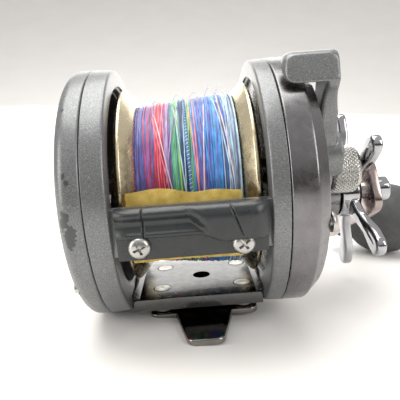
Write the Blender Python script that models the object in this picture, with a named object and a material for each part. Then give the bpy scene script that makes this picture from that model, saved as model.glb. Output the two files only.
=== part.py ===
"""Star-drag trolling reel: a lever-clutch multiplier with a one-piece frame.

Frame of the model: origin at the centre of the reel foot's flat underside, +X along the spool
axis towards the handle, +Y towards the rod tip, +Z up. Units are metres; the dimensions below are
written in millimetres and turned into metres by the helpers. Every rotating piece of the spool
train lies on SPOOL_AXIS, and every piece of the handle train on DRIVE_AXIS, both along X.
"""
import math

import bmesh
import bpy
from mathutils import Matrix, Vector

MM = 0.001
GAP = 0.3                       # clearance between touching pieces

# Driving dimensions -------------------------------------------------------------------------
PLATE_R = 36.0                  # side plates and frame rings
PLATE_AXIS = (0.0, 38.0)        # (y, z) of the side plates' centre
FRAME_MID_X = -2.0              # middle of the frame, measured from the foot's centre
SEAM = 23.9                     # frame middle to the seam with either side cover
SPOOL_AXIS = (0.0, 39.6)
SPOOL_MID_X = -1.3
FLANGE_R = 28.3
BORE_R = 28.9
MODULE = 0.5
PINION_TEETH = 13
GEAR_TEETH = 52
GEAR_DISTANCE = MODULE * (PINION_TEETH + GEAR_TEETH) / 2
GEAR_LINE = math.radians(-36.5)  # direction from the spool axis to the drive axis, in the YZ plane
ALONG = (math.cos(GEAR_LINE), math.sin(GEAR_LINE))
ACROSS = (-math.sin(GEAR_LINE), math.cos(GEAR_LINE))
DRIVE_AXIS = (SPOOL_AXIS[0] + GEAR_DISTANCE * ALONG[0], SPOOL_AXIS[1] + GEAR_DISTANCE * ALONG[1])
LEVER_AXIS = (-12.0, 46.2)
# Side view of the lever in (y, z): up its outer face, over the tab's top and down behind the arm.
LEVER_FACE = [(-17.9, 46.0), (-19.3, 57.0), (-22.7, 62.0), (-26.6, 63.9), (-25.2, 72.3)]
LEVER_BACK = [(-17.4, 73.3), (-16.8, 70.9), (-15.8, 67.5), (-11.0, 57.5), (-6.5, 47.5), (-12.0, 43.0)]
LEVER_TAB_START = 23.1          # free end of the tab along X
LEVER_ARM_X = (33.7, 38.6)
LEVER_TOP_X = 36.9              # the arm narrows to this at the tab
YOKE_POST = 8.2                 # from the spool axis to each yoke post
DOG_AXIS = (-2.0, 18.0)
CLICK_AXIS = (14.0, 39.6)
CLICK_TRAVEL = 3.2
FOOT_THICK = 2.0
BRIDGE_LOW = 5.3
BRIDGE_TOP = 8.9
RIVET_PITCH = (12.1, 8.7)       # half spacing of the four foot rivets along X and Y
KNOB_AXIS = (52.0, 8.8)
KNOB_R = 15.2
ARM_IN = 57.5                   # inner face of the handle arm
ARM_THICK = 2.8
STAR_TIP_R = 25.4
STAR_PHASE = -6.0

ROUND = 36
MIDDLE = 20
SMALL = 14
FINE = 8


def rx(x):
    """X measured from the frame's middle, in the model's frame."""
    return x + FRAME_MID_X


# Materials ----------------------------------------------------------------------------------
def finish(name, colour, roughness, metallic):
    found = bpy.data.materials.get(name)
    if found:
        return found
    made = bpy.data.materials.new(name)
    made.use_nodes = True
    shader = made.node_tree.nodes["Principled BSDF"]
    shader.inputs["Base Color"].default_value = (*colour, 1.0)
    shader.inputs["Roughness"].default_value = roughness
    shader.inputs["Metallic"].default_value = metallic
    made.diffuse_color = (*colour, 1.0)
    return made


def paint():
    return finish("paint", (0.30, 0.32, 0.32), 0.42, 0.55)


def gunmetal():
    return finish("gunmetal", (0.20, 0.20, 0.21), 0.25, 0.9)


def champagne():
    return finish("champagne", (0.78, 0.68, 0.47), 0.32, 0.95)


def chrome():
    return finish("chrome", (0.80, 0.80, 0.82), 0.08, 1.0)


def steel():
    return finish("steel", (0.62, 0.62, 0.62), 0.25, 1.0)


def brass():
    return finish("brass", (0.80, 0.60, 0.28), 0.3, 1.0)


def black_plastic():
    return finish("black_plastic", (0.045, 0.05, 0.055), 0.5, 0.0)


def knob_plastic():
    return finish("knob_plastic", (0.09, 0.09, 0.09), 0.6, 0.0)


def carbon():
    return finish("carbon", (0.05, 0.05, 0.05), 0.7, 0.0)


def paper():
    return finish("paper", (0.80, 0.65, 0.25), 0.7, 0.0)


def braid():
    return finish("braid", (0.20, 0.35, 0.65), 0.5, 0.0)


# Builders -----------------------------------------------------------------------------------
def emit(name, bm, place, material, smooth=True):
    """Turns a bmesh whose points are in millimetres into a named object at place."""
    bmesh.ops.remove_doubles(bm, verts=bm.verts, dist=1e-4)
    bmesh.ops.recalc_face_normals(bm, faces=bm.faces)
    bmesh.ops.transform(bm, matrix=Matrix.Diagonal((MM, MM, MM, 1.0)), verts=bm.verts)
    mesh = bpy.data.meshes.new(name)
    bm.to_mesh(mesh)
    bm.free()
    if smooth:
        mesh.shade_smooth()
        mesh.set_sharp_from_angle(angle=math.radians(35))
    mesh.materials.append(material)
    made = bpy.data.objects.new(name, mesh)
    made.location = Vector(place) * MM
    bpy.context.collection.objects.link(made)
    return made


def turned(name, profile, axis, material, steps=MIDDLE, x0=0.0):
    """A closed (x, radius) profile spun about the line through axis=(y, z), along X."""
    bm = bmesh.new()
    points = [bm.verts.new((x, 0.0, r)) for x, r in profile]
    edges = []
    for i, point in enumerate(points):
        after = points[(i + 1) % len(points)]
        on_axis = profile[i][1] == 0.0 and profile[(i + 1) % len(points)][1] == 0.0
        if not on_axis:
            edges.append(bm.edges.new((point, after)))
    bmesh.ops.spin(bm, geom=points + edges, cent=(0, 0, 0), axis=(1, 0, 0), angle=2 * math.pi,
                   steps=steps, use_merge=True, use_duplicate=False)
    return emit(name, bm, (x0, axis[0], axis[1]), material)


def tube(name, low, high, inner, outer, axis, material, steps=MIDDLE):
    """A ring or sleeve; with inner 0 it is a disc."""
    profile = [(low, inner), (low, outer), (high, outer), (high, inner)]
    return turned(name, profile, axis, material, steps)


def prism(name, outline, low, high, along, material, place=(0.0, 0.0, 0.0), smooth=True):
    """An outline extruded along one axis. The outline holds the two other axes, in XYZ order."""
    orders = {"X": lambda a, b, c: (c, a, b), "Y": lambda a, b, c: (a, c, b), "Z": lambda a, b, c: (a, b, c)}
    spot = orders[along]
    bm = bmesh.new()
    face = bm.faces.new([bm.verts.new(spot(a, b, low)) for a, b in outline])
    grown = bmesh.ops.extrude_face_region(bm, geom=[face])
    moved = [item for item in grown["geom"] if isinstance(item, bmesh.types.BMVert)]
    bmesh.ops.translate(bm, vec=spot(0.0, 0.0, high - low), verts=moved)
    return emit(name, bm, place, material, smooth)


# Bodies with so many crossing cuts that the exact solver leaves slits in them.
MANY_CUTS = ("frame", "left_cover", "right_cover", "drive_gear", "star_drag", "gear_plate", "clutch_lever")


def guide(made):
    made.hide_render = True
    made.display_type = "WIRE"
    return made


def boolean(target, other, operation):
    change = target.modifiers.new(other.name, "BOOLEAN")
    change.operation = operation
    change.solver = "MANIFOLD" if target.name in MANY_CUTS else "EXACT"
    change.object = guide(other)
    return target


def cut(target, *cutters):
    for cutter in cutters:
        boolean(target, cutter, "DIFFERENCE")
    return target


def join(target, *others):
    for other in others:
        boolean(target, other, "UNION")
    return target


def soften(target, width, angle=40, segments=2):
    change = target.modifiers.new("edge", "BEVEL")
    change.width = width * MM
    change.segments = segments
    change.limit_method = "ANGLE"
    change.angle_limit = math.radians(angle)
    return target


def arc(centre, radius, start, end, count):
    """Points on a circle, angles in degrees."""
    turn = [math.radians(start + (end - start) * i / count) for i in range(count + 1)]
    return [(centre[0] + radius * math.cos(t), centre[1] + radius * math.sin(t)) for t in turn]


def polar(centre, radius, degrees):
    return arc(centre, radius, degrees, degrees, 1)[0]


def capsule(start, end, r_start, r_end, count=8):
    """Outline round two circles of different radius joined by straight flanks."""
    direction = math.degrees(math.atan2(end[1] - start[1], end[0] - start[0]))
    return (arc(end, r_end, direction - 90, direction + 90, count)
            + arc(start, r_start, direction + 90, direction + 270, count))


def rectangle(a_low, a_high, b_low, b_high):
    return [(a_low, b_low), (a_high, b_low), (a_high, b_high), (a_low, b_high)]


def bearing(name, low, high, inner, outer, axis, material):
    """A shielded ball bearing, as one ring."""
    return tube(name, low, high, inner, outer, axis, material, SMALL)


def pan_head_screw(name, head, tip, axis, facing, head_r=2.7, shank_r=1.35, head_high=1.7):
    """Cross-recessed pan screw along X or -Y. head is where its underside sits, tip its far end."""
    side = 1.0 if facing == "+X" else -1.0
    profile = [(tip, 0.0), (tip, shank_r), (head, shank_r), (head, head_r)]
    profile += [(head + side * head_high * 0.45, head_r), (head + side * head_high * 0.85, head_r * 0.72),
                (head + side * head_high, head_r * 0.4), (head + side * head_high, 0.0)]
    made = turned(name, profile, (0.0, 0.0), steel(), FINE)
    for i, (wide, tall) in enumerate(((0.55, 2.9), (2.9, 0.55))):
        bottom, above = head + side * head_high * 0.35, head + side * (head_high + 1.0)
        shape = rectangle(-wide / 2, wide / 2, -tall / 2, tall / 2)
        slot = prism(f"{name}_slot_{i}", shape, bottom, above, "X", steel(), smooth=False)
        slot.parent = made
        cut(made, slot)
    if facing == "-Y":
        made.rotation_euler = (0.0, 0.0, math.pi / 2)
        made.location = Vector((axis[0], 0.0, axis[1])) * MM
    else:
        made.location = Vector((0.0, axis[0], axis[1])) * MM
    return made


def gear_outline(teeth, tip_extra=0.42, root_depth=0.60, backlash=0.10, turn=0.0, flank_points=2):
    """Involute spur gear outline about the origin, a tooth centred on the angle turn (radians)."""
    pitch_r = MODULE * teeth / 2
    base_r = pitch_r * math.cos(math.radians(20))
    tip_r = pitch_r + tip_extra
    root_r = pitch_r - root_depth
    half_tooth = (math.pi * MODULE / 2 - backlash) / (2 * pitch_r)

    def involute(radius):
        return math.tan(math.acos(min(1.0, base_r / radius))) - math.acos(min(1.0, base_r / radius))

    start_r = max(root_r + 0.05, base_r)
    radii = [start_r + (tip_r - start_r) * i / (flank_points - 1) for i in range(flank_points)]
    halves = [half_tooth + involute(pitch_r) - involute(r) for r in radii]
    points = []
    for tooth in range(teeth):
        middle = turn + 2 * math.pi * tooth / teeth
        shape = [(root_r, -halves[0] * 1.02)] + [(r, -h) for r, h in zip(radii, halves)]
        shape += [(r, h) for r, h in zip(reversed(radii), reversed(halves))] + [(root_r, halves[0] * 1.02)]
        points += [(r * math.cos(middle + a), r * math.sin(middle + a)) for r, a in shape]
    return points


def saw_outline(teeth, tip_r, root_r, turn=0.0):
    """Ratchet wheel: one steep and one sloping flank on each tooth."""
    points = []
    for tooth in range(teeth):
        start = turn + 2 * math.pi * tooth / teeth
        for radius, share in ((root_r, 0.0), (tip_r, 0.06), (tip_r, 0.2)):
            a = start + share * 2 * math.pi / teeth
            points.append((radius * math.cos(a), radius * math.sin(a)))
    return points


def coil(name, low, high, radius, wire, turns, axis, material):
    """A compression spring along X."""
    curve = bpy.data.curves.new(name, "CURVE")
    curve.dimensions = "3D"
    curve.bevel_depth = wire / 2 * MM
    curve.bevel_resolution = 0
    curve.use_fill_caps = True
    line = curve.splines.new("POLY")
    count = int(turns * 8)
    line.points.add(count)
    for i in range(count + 1):
        turn = 2 * math.pi * turns * i / count
        spot = (low + (high - low) * i / count, radius * math.cos(turn), radius * math.sin(turn))
        line.points[i].co = (*(Vector(spot) * MM), 1.0)
    curve.materials.append(material)
    made = bpy.data.objects.new(name, curve)
    made.location = Vector((0.0, axis[0], axis[1])) * MM
    bpy.context.collection.objects.link(made)
    return made


def from_spool(along, across):
    """A (y, z) point given along and across the line from the spool axis to the drive axis."""
    return (SPOOL_AXIS[0] + along * ALONG[0] + across * ACROSS[0],
            SPOOL_AXIS[1] + along * ALONG[1] + across * ACROSS[1])


# Frame and covers ---------------------------------------------------------------------------
def ring(name, low, high, seat_low, seat_high, seat_r):
    """One frame ring: outside on the plate axis, bore on the spool axis, with a seat for a cover."""
    body = turned(name, [(low, 20.0), (low, PLATE_R - 0.4), (low + 0.4, PLATE_R), (high - 0.4, PLATE_R),
                         (high, PLATE_R - 0.4), (high, 20.0)], PLATE_AXIS, paint(), ROUND)
    bore = tube(f"{name}_bore", low - 5, high + 5, 0.0, BORE_R, SPOOL_AXIS, paint(), ROUND)
    seat = tube(f"{name}_seat", seat_low, seat_high, 0.0, seat_r, PLATE_AXIS, paint(), ROUND)
    return cut(body, bore, seat)


def rear_bar_outline():
    inner = arc(PLATE_AXIS, 30.4, 178, 199, 6)
    return inner + [(-33.4, 27.4), (-33.4, 39.0)]


def front_bar_outline():
    inner = arc(PLATE_AXIS, 30.6, -4, 10, 5)
    return inner + arc(PLATE_AXIS, 35.0, 10, -4, 5)


def frame():
    left = ring("frame", rx(-SEAM + 0.15), rx(-18.2), rx(-SEAM - 5), rx(-20.4), 31.6)
    right = ring("frame_right", rx(19.4), rx(SEAM - 0.15), rx(20.7), rx(SEAM + 5), 33.2)
    span = (rx(-19.0), rx(20.2))
    bars = [prism("frame_rear_bar", rear_bar_outline(), *span, "X", paint()),
            prism("frame_front_bar", front_bar_outline(), *span, "X", paint()),
            prism("frame_bridge", rectangle(-16.5, 16.5, BRIDGE_LOW, BRIDGE_TOP), *span, "X", paint())]
    join(left, right, *bars)
    holes = [tube_z("frame_hole", 2.75, 0.0, 0.0, 4.0, 11.0)]
    holes += [tube_z(f"frame_rivet_hole_{i}", 1.6, x, y, 4.0, 11.0) for i, (x,
                                                                            y) in enumerate(rivet_spots())]
    holes += [tube_z(f"frame_rivet_sink_{i}", 2.75, x, y, BRIDGE_TOP - 0.7, 11.0)
              for i, (x, y) in enumerate(rivet_spots())]
    holes += [tube(f"frame_cover_tap_{i}", rx(-30), rx(-20.2), 0.0, 1.2, spot, paint(), FINE)
              for i, spot in enumerate(left_screw_spots())]
    for side, (x, z) in enumerate(thumb_screw_spots()):
        hole = tube(f"frame_tap_{side}", 0.0, 6.0, 0.0, 1.65, (0.0, 0.0), paint(), FINE)
        hole.rotation_euler = (0.0, 0.0, math.pi / 2)
        hole.location = Vector((x, -35.0, z)) * MM
        holes.append(hole)
    return cut(left, *holes)


def tube_z(name, radius, x, y, low, high, steps=FINE):
    outline = arc((x, y), radius, 0, 360, steps)[:-1]
    return prism(name, outline, low, high, "Z", paint())


def rivet_spots():
    return [(sx * RIVET_PITCH[0], sy * RIVET_PITCH[1]) for sx in (-1, 1) for sy in (-1, 1)]


def thumb_screw_spots():
    return [(-13.8, 30.1), (10.4, 29.4)]


def thumb_rest():
    """Moulded pad over the rear bar: an overhanging upper roll above a flat screw face."""
    roll = [(-33.8, 39.4), (-36.2, 39.2), (-37.6, 38.0), (-38.1, 36.0), (-37.8, 33.6), (-36.8, 32.5)]
    face = [(-35.2, 32.0), (-34.9, 27.4), (-34.5, 26.7), (-33.8, 26.7)]
    body = prism("thumb_rest", roll + face, rx(-17.1), rx(18.4), "X", black_plastic())
    for side, (x, z) in enumerate(thumb_screw_spots()):
        hole = tube(f"thumb_rest_hole_{side}", -10.0, 10.0, 0.0, 1.65, (0.0, 0.0), black_plastic(), FINE)
        relief = tube(f"thumb_rest_relief_{side}", -10.0, -0.25, 0.0, 3.1, (0.0, 0.0), black_plastic(),
                      SMALL)
        for cutter in (hole, relief):
            cutter.rotation_euler = (0.0, 0.0, math.pi / 2)
            cutter.location = Vector((x, -34.85, z)) * MM
            cut(body, cutter)
    return body


def thumb_screws():
    for side, (x, z) in zip(("left", "right"), thumb_screw_spots()):
        pan_head_screw(f"thumb_rest_screw_{side}", -35.2, -31.2, (x, z), "-Y", 2.7, 1.3)


def tape_strip():
    """Paper tape stuck to the spool side of the rear bar."""
    inner = arc(PLATE_AXIS, 29.85, 169.5, 210.0, 10)
    outer = arc(PLATE_AXIS, 30.1, 210.0, 169.5, 10)
    return prism("tape_strip", inner + outer, rx(-14.9), rx(13.3), "X", paper())


def left_cover():
    """Domed cup with a register that enters the frame ring, a hub for the bearing and a button slot."""
    low, high = rx(-SEAM), rx(-SEAM + 3.2)
    profile = [(low, PLATE_R), (rx(-28.2), PLATE_R), (rx(-29.8), 34.6), (rx(-31.2), 30.6), (rx(-32.1), 18.0),
               (rx(-32.1), 0.0), (rx(-30.0), 0.0), (rx(-30.0), 3.4), (rx(-28.9), 3.4), (rx(-28.9), 6.1),
               (rx(-24.6), 6.1), (rx(-24.6), 8.6), (rx(-29.9), 8.6), (rx(-29.4), 29.9), (high, 29.9),
               (high, 31.3), (low, 31.3)]
    body = turned("left_cover", profile, PLATE_AXIS, paint(), ROUND)
    shift = SPOOL_AXIS[1] - PLATE_AXIS[1]
    for vertex in body.data.vertices:
        if math.hypot(vertex.co.y, vertex.co.z) < 9.0 * MM:
            vertex.co.z += shift * MM
    y, z = CLICK_AXIS
    slot_outline = rectangle(y - CLICK_TRAVEL - 1.6, y + 1.6, z - 1.5, z + 1.5)
    slot = prism("left_cover_slot", slot_outline, rx(-34.0), rx(-28.0), "X", paint(), smooth=False)
    cut(body, slot)
    for i, spot in enumerate(left_screw_spots()):
        sink = [(rx(-40), 0.0), (rx(-40), 2.0), (rx(-28.8), 2.0), (rx(-28.8), 1.2), (rx(-20), 1.2),
                (rx(-20), 0.0)]
        cut(body, turned(f"left_cover_hole_{i}", sink, spot, paint(), FINE))
    return body


def left_screw_spots():
    return [polar(PLATE_AXIS, 33.6, a) for a in (95, 215, 335)]


def left_cover_screws():
    for i, spot in enumerate(left_screw_spots()):
        profile = [(rx(-20.6), 0.0), (rx(-20.6), 0.95), (rx(-29.0), 0.95), (rx(-29.0), 1.75),
                   (rx(-30.0), 1.75),
                   (rx(-30.0), 0.0)]
        body = turned(f"left_cover_screw_{i + 1}", profile, spot, steel(), FINE)
        groove = rectangle(spot[0] - 0.25, spot[0] + 0.25, spot[1] - 3, spot[1] + 3)
        slot = prism(f"left_cover_screw_slot_{i}", groove, rx(-33), rx(-29.5), "X", steel(), smooth=False)
        cut(body, slot)


def right_cover():
    """Gear case: a deep cup with bosses for the spool end, the drive shaft and the clutch lever."""
    seam = rx(SEAM)
    outer = [(seam, PLATE_R), (rx(30.3), PLATE_R), (rx(31.8), PLATE_R - 1.5), (rx(33.9), 32.6),
             (rx(34.2), 28.0),
             (rx(35.2), 25.4), (rx(35.2), 0.0)]
    inner = [(rx(33.7), 0.0), (rx(33.7), 24.2), (rx(32.6), 27.6), (rx(32.2), 33.0), (seam, 33.0)]
    body = turned("right_cover", outer + inner, PLATE_AXIS, gunmetal(), ROUND)
    spool_boss = [(rx(34.4), 0.0), (rx(34.4), 6.8), (rx(42.9), 6.8), (rx(42.9), 5.5), (rx(49.6), 5.5),
                  (rx(49.6), 0.0)]
    drive_boss = [(rx(34.6), 0.0), (rx(34.6), 11.2), (rx(38.0), 9.0), (rx(48.9), 8.7), (rx(49.3), 8.3),
                  (rx(49.3), 0.0)]
    join(body,
         turned("right_cover_spool_boss", spool_boss, SPOOL_AXIS, gunmetal(), SMALL),
         turned("right_cover_drive_boss", drive_boss, DRIVE_AXIS, gunmetal(), MIDDLE),
         tube("right_cover_lever_boss", rx(34.5), rx(35.7), 0.0, 6.2, LEVER_AXIS, gunmetal(), SMALL))
    spool_bore = [(rx(30), 0.0), (rx(30), 5.25), (rx(41.6), 5.25), (rx(41.6), 2.9), (rx(52), 2.9),
                  (rx(52), 0.0)]
    drive_bore = [(rx(30.2), 0.0), (rx(30.2), 7.6), (rx(47.5), 7.6), (rx(47.5), 5.6), (rx(52), 5.6),
                  (rx(52), 0.0)]
    cut(body,
        turned("right_cover_spool_bore", spool_bore, SPOOL_AXIS, gunmetal(), SMALL),
        turned("right_cover_drive_bore", drive_bore, DRIVE_AXIS, gunmetal(), MIDDLE),
        tube("right_cover_lever_bore", rx(30.4), rx(38), 0.0, 2.8, LEVER_AXIS, gunmetal(), FINE))
    for i, spot in enumerate(right_screw_spots()):
        cut(body, tube(f"right_cover_hole_{i}", rx(28), rx(38), 0.0, 1.6, spot, gunmetal(), FINE))
    return body


def right_screw_spots():
    return [polar(PLATE_AXIS, 30.3, a) for a in (12.8, 102.8, 192.8, 282.8)]


def right_cover_screws():
    for i, spot in enumerate(right_screw_spots()):
        pan_head_screw(f"right_cover_screw_{i + 1}", rx(34.5), rx(21.4), spot, "+X", 2.7, 1.3)


def gear_plate():
    """Inner plate in the right ring: carries the spool bearing, drive bush, yoke posts and dog post."""
    body = tube("gear_plate", rx(21.0), rx(22.9), 0.0, 32.9, PLATE_AXIS, gunmetal(), ROUND)
    return cut(body,
               tube("gear_plate_bearing_seat", rx(20), rx(24), 0.0, 5.7, SPOOL_AXIS, gunmetal(), SMALL),
               tube("gear_plate_drive_seat", rx(20), rx(24), 0.0, 4.8, DRIVE_AXIS, gunmetal(), SMALL),
               *[tube(f"gear_plate_tap_{i}", rx(20), rx(24), 0.0, 1.1, spot, gunmetal(), FINE)
                 for i, spot in enumerate(yoke_post_spots() + [DOG_AXIS])],
               *[tube(f"gear_plate_screw_hole_{i}", rx(20), rx(24), 0.0, 1.5, spot, gunmetal(), FINE)
                 for i, spot in enumerate(right_screw_spots())])


# Foot ---------------------------------------------------------------------------------------
def reel_foot():
    """Stamped plate: a long tapering blade along the rod and two ears that take the rivets."""
    half = [(4.7, -28.6), (9.2, -9.0), (9.2, 9.0), (4.7, 28.6)]
    outline = half + [(-x, y) for x, y in reversed(half)]
    body = prism("reel_foot", outline, 0.0, FOOT_THICK, "Z", chrome())
    ears = prism("reel_foot_ears", rectangle(-16.2, 16.2, -12.2, 12.2), 0.0, FOOT_THICK, "Z", chrome())
    soften(ears, 3.5, segments=4)
    join(body, ears)
    for i, (x, y) in enumerate(rivet_spots()):
        cut(body, tube_z(f"reel_foot_hole_{i}", 1.6, x, y, -1.0, 3.0))
    return body


def foot_rivets():
    for i, (x, y) in enumerate(rivet_spots()):
        profile = [(0.35, 0.0), (0.35, 1.3), (FOOT_THICK + GAP, 1.3), (FOOT_THICK + GAP, 2.5),
                   (BRIDGE_LOW - GAP, 2.5), (BRIDGE_LOW - GAP, 1.3), (BRIDGE_TOP - 0.45, 1.3),
                   (BRIDGE_TOP - 0.45, 2.5), (BRIDGE_TOP, 2.5), (BRIDGE_TOP, 0.0)]
        body = turned(f"foot_rivet_{i + 1}", profile[::-1], (0.0, 0.0), steel(), FINE)
        body.rotation_euler = (0.0, -math.pi / 2, 0.0)
        body.location = Vector((x, y, 0.0)) * MM


# Spool train --------------------------------------------------------------------------------
def sx(x):
    """X measured from the spool's middle."""
    return x + SPOOL_MID_X


def spool():
    half = [(13.2, 14.0), (13.5, 24.6), (14.6, 26.0), (16.7, FLANGE_R), (17.4, FLANGE_R), (18.1, 27.4),
            (18.1, 24.0), (16.0, 22.0), (16.0, 7.0), (18.1, 6.0), (18.1, 2.8)]
    profile = [(sx(x), r) for x, r in half] + [(sx(-x), r) for x, r in reversed(half)]
    return turned("spool", profile, SPOOL_AXIS, champagne(), ROUND)


def line_pack():
    """Wound line: slightly fuller towards the handle side."""
    profile = [(sx(-12.8), 14.3), (sx(-12.8), 23.2), (sx(-9.5), 23.8), (sx(-3.3), 24.4), (sx(2.6), 24.9),
               (sx(8.6), 25.2), (sx(12.8), 25.3), (sx(12.8), 14.3)]
    return turned("line_pack", profile, SPOOL_AXIS, braid(), ROUND)


def spool_shaft():
    profile = [(rx(-29.6), 0.0), (rx(-29.6), 2.3), (rx(-29.3), 2.5), (rx(23.1), 2.5), (rx(23.1), 1.6),
               (rx(49.0), 1.6), (rx(49.3), 1.2), (rx(49.3), 0.0)]
    body = turned("spool_shaft", profile[::-1], SPOOL_AXIS, steel(), SMALL)
    hole = prism("spool_shaft_hole", [polar((rx(23.9), SPOOL_AXIS[1]), 0.75, a) for a in range(0, 360, 45)],
                 -5.0, 5.0, "Y", steel())
    return cut(body, hole)


def spool_pin():
    outline = [polar((rx(23.9), SPOOL_AXIS[1]), 0.6, a) for a in range(0, 360, 45)]
    return prism("spool_pin", outline, -3.1, 3.1, "Y", steel())


def spool_bearings():
    bearing("left_bearing", rx(-28.6), rx(-25.0), 2.6, 6.0, SPOOL_AXIS, steel())
    bearing("right_bearing", rx(21.0), rx(22.9), 2.6, 5.6, SPOOL_AXIS, steel())
    bearing("spool_end_bearing", rx(38.6), rx(41.4), 1.7, 5.1, SPOOL_AXIS, steel())


def cast_control():
    shell = [(rx(43.4), 5.8), (rx(43.4), 6.6), (rx(43.9), 7.3), (rx(51.2), 7.3), (rx(51.9), 6.6),
             (rx(52.1), 5.4),
             (rx(52.1), 0.0), (rx(50.6), 0.0), (rx(50.6), 5.8)]
    turned("cast_control_cap", shell, SPOOL_AXIS, chrome(), MIDDLE)
    tube("cast_control_pad", rx(49.8), rx(50.4), 0.0, 2.6, SPOOL_AXIS, brass(), FINE)


# Clicker ------------------------------------------------------------------------------------
def clicker():
    outline = [(SPOOL_AXIS[0] + y, SPOOL_AXIS[1] + z) for y, z in saw_outline(16, 6.7, 6.0)]
    wheel = prism("click_gear", outline, rx(-22.0), rx(-20.4), "X", brass())
    cut(wheel, tube("click_gear_bore", rx(-30), rx(-10), 0.0, 2.6, SPOOL_AXIS, brass(), SMALL))
    y, z = CLICK_AXIS
    plate = [(y - 3.8, z - 0.5), (y - 2.2, z - 1.6), (y + 2.6, z - 1.6),
             (y + 2.6, z + 1.6), (y - 2.2, z + 1.6), (y - 3.8, z + 0.5)]
    prism("click_pawl", plate, rx(-22.0), rx(-20.6), "X", steel())
    face = rectangle(y - 2.6, y + 2.6, z - 3.2, z + 3.2)
    button = prism("click_button", face, rx(-34.0), rx(-32.4), "X", black_plastic())
    join(button, tube("click_button_stem", rx(-33.0), rx(-22.3), 0.0, 1.2, CLICK_AXIS, black_plastic(),
                      FINE))


# Clutch -------------------------------------------------------------------------------------
def yoke_post_spots():
    return [from_spool(-3.0, YOKE_POST), from_spool(-3.0, -YOKE_POST)]


def pinion():
    """Pinion on the spool shaft: slot for the spool pin, teeth, yoke groove and end flange."""
    phase = GEAR_LINE + math.pi / PINION_TEETH
    body = prism("pinion", gear_outline(PINION_TEETH, turn=phase), rx(23.25), rx(29.3), "X", brass(),
                 place=(0.0, *SPOOL_AXIS))
    neck = turned("pinion_neck", [(rx(29.0), 0.0), (rx(29.0), 2.2), (rx(30.8), 2.2), (rx(30.8), 3.4),
                                  (rx(32.0), 3.4), (rx(32.0), 0.0)][::-1], SPOOL_AXIS, brass(), SMALL)
    slot = prism("pinion_slot", rectangle(-5.0, 5.0, -0.95, 0.95), rx(22.0), rx(24.9), "X", brass(),
                 place=(0.0, *SPOOL_AXIS), smooth=False)
    join(body, neck)
    return cut(body, tube("pinion_bore", rx(20), rx(35), 0.0, 1.85, SPOOL_AXIS, brass(), FINE), slot)


def yoke():
    """Fork in the pinion's groove, guided by two posts, with a tail over the clutch cam."""
    def rotated(points):
        return [from_spool(a, b) for a, b in points]

    plate = prism("yoke", rotated(rectangle(-6.0, 3.2, -11.0, 11.0)), rx(29.6), rx(30.4), "X", steel(),
                  smooth=False)
    tail = prism("yoke_tail", rotated(rectangle(-10.6, -5.5, -3.2, -0.8)), rx(29.6), rx(30.4), "X", steel(),
                 smooth=False)
    join(plate, tail)
    throat = rotated([(6.0, -2.5), (6.0, 2.5)] + arc((0.0, 0.0), 2.5, 90, 270, 8))
    cut(plate, prism("yoke_throat", throat, rx(28), rx(32), "X", steel(), smooth=False))
    for i, spot in enumerate(yoke_post_spots()):
        cut(plate, tube(f"yoke_hole_{i}", rx(28), rx(32), 0.0, 1.35, spot, steel(), FINE))
    return plate


def yoke_hardware():
    for i, spot in enumerate(yoke_post_spots()):
        tube(f"yoke_post_{i + 1}", rx(21.2), rx(33.4), 0.0, 1.0, spot, steel(), FINE)
        coil(f"yoke_spring_{i + 1}", rx(30.75), rx(33.3), 1.75, 0.35, 3.0, spot, steel())


def clutch_cam():
    """Disc under the yoke's tail with a ramp that lifts the yoke as the lever turns."""
    body = tube("clutch_cam", rx(26.8), rx(28.2), 0.0, 5.6, LEVER_AXIS, steel(), SMALL)
    join(body, tube("clutch_cam_shaft", rx(27.5), rx(41.4), 0.0, 2.3, LEVER_AXIS, steel(), FINE))
    tail = math.degrees(GEAR_LINE)
    low, sweep, steps = tail - 56.0, 36.0, 8
    bm = bmesh.new()
    rings = []
    for i in range(steps + 1):
        angle = math.radians(low + sweep * i / steps)
        top = rx(31.2) - 3.1 * i / steps
        rings.append([bm.verts.new((x, r * math.cos(angle), r * math.sin(angle)))
                      for x, r in ((rx(27.6), 3.1), (rx(27.6), 5.4), (top, 5.4), (top, 3.1))])
    for first, second in zip(rings, rings[1:]):
        for j in range(4):
            bm.faces.new((first[j], first[(j + 1) % 4], second[(j + 1) % 4], second[j]))
    bm.faces.new(rings[0])
    bm.faces.new(rings[-1])
    return join(body, emit("clutch_cam_ramp", bm, (0.0, *LEVER_AXIS), steel(), smooth=False))


def clutch_lever():
    """Hub, arm and thumb tab: one side view extruded, then cleared under the tab and narrowed outside."""
    inner, outer = LEVER_ARM_X
    hub = tube("clutch_lever", rx(36.0), rx(42.3), 0.0, 6.5, LEVER_AXIS, paint(), MIDDLE)
    arm = prism("clutch_lever_arm", LEVER_FACE + LEVER_BACK, LEVER_TAB_START, outer, "X", paint())
    soften(arm, 1.0, segments=3)
    under_tab = [(-30.5, 61.1), (-12.6, 73.9), (0.0, 73.9), (0.0, 30.0), (-30.5, 30.0)]
    beyond = outer + 5.0
    outside = [(outer, 57.0), (LEVER_TOP_X, 64.0), (LEVER_TOP_X, 80.0), (beyond, 80.0), (beyond, 57.0)]
    cut(arm, prism("clutch_lever_under", under_tab, LEVER_TAB_START - 5.0, inner, "X", paint()),
        prism("clutch_lever_outside", outside, -40.0, 0.0, "Y", paint()))
    join(hub, arm)
    return cut(hub, tube("clutch_lever_bore", rx(30), rx(41.7), 0.0, 2.45, LEVER_AXIS, paint(), FINE))


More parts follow.
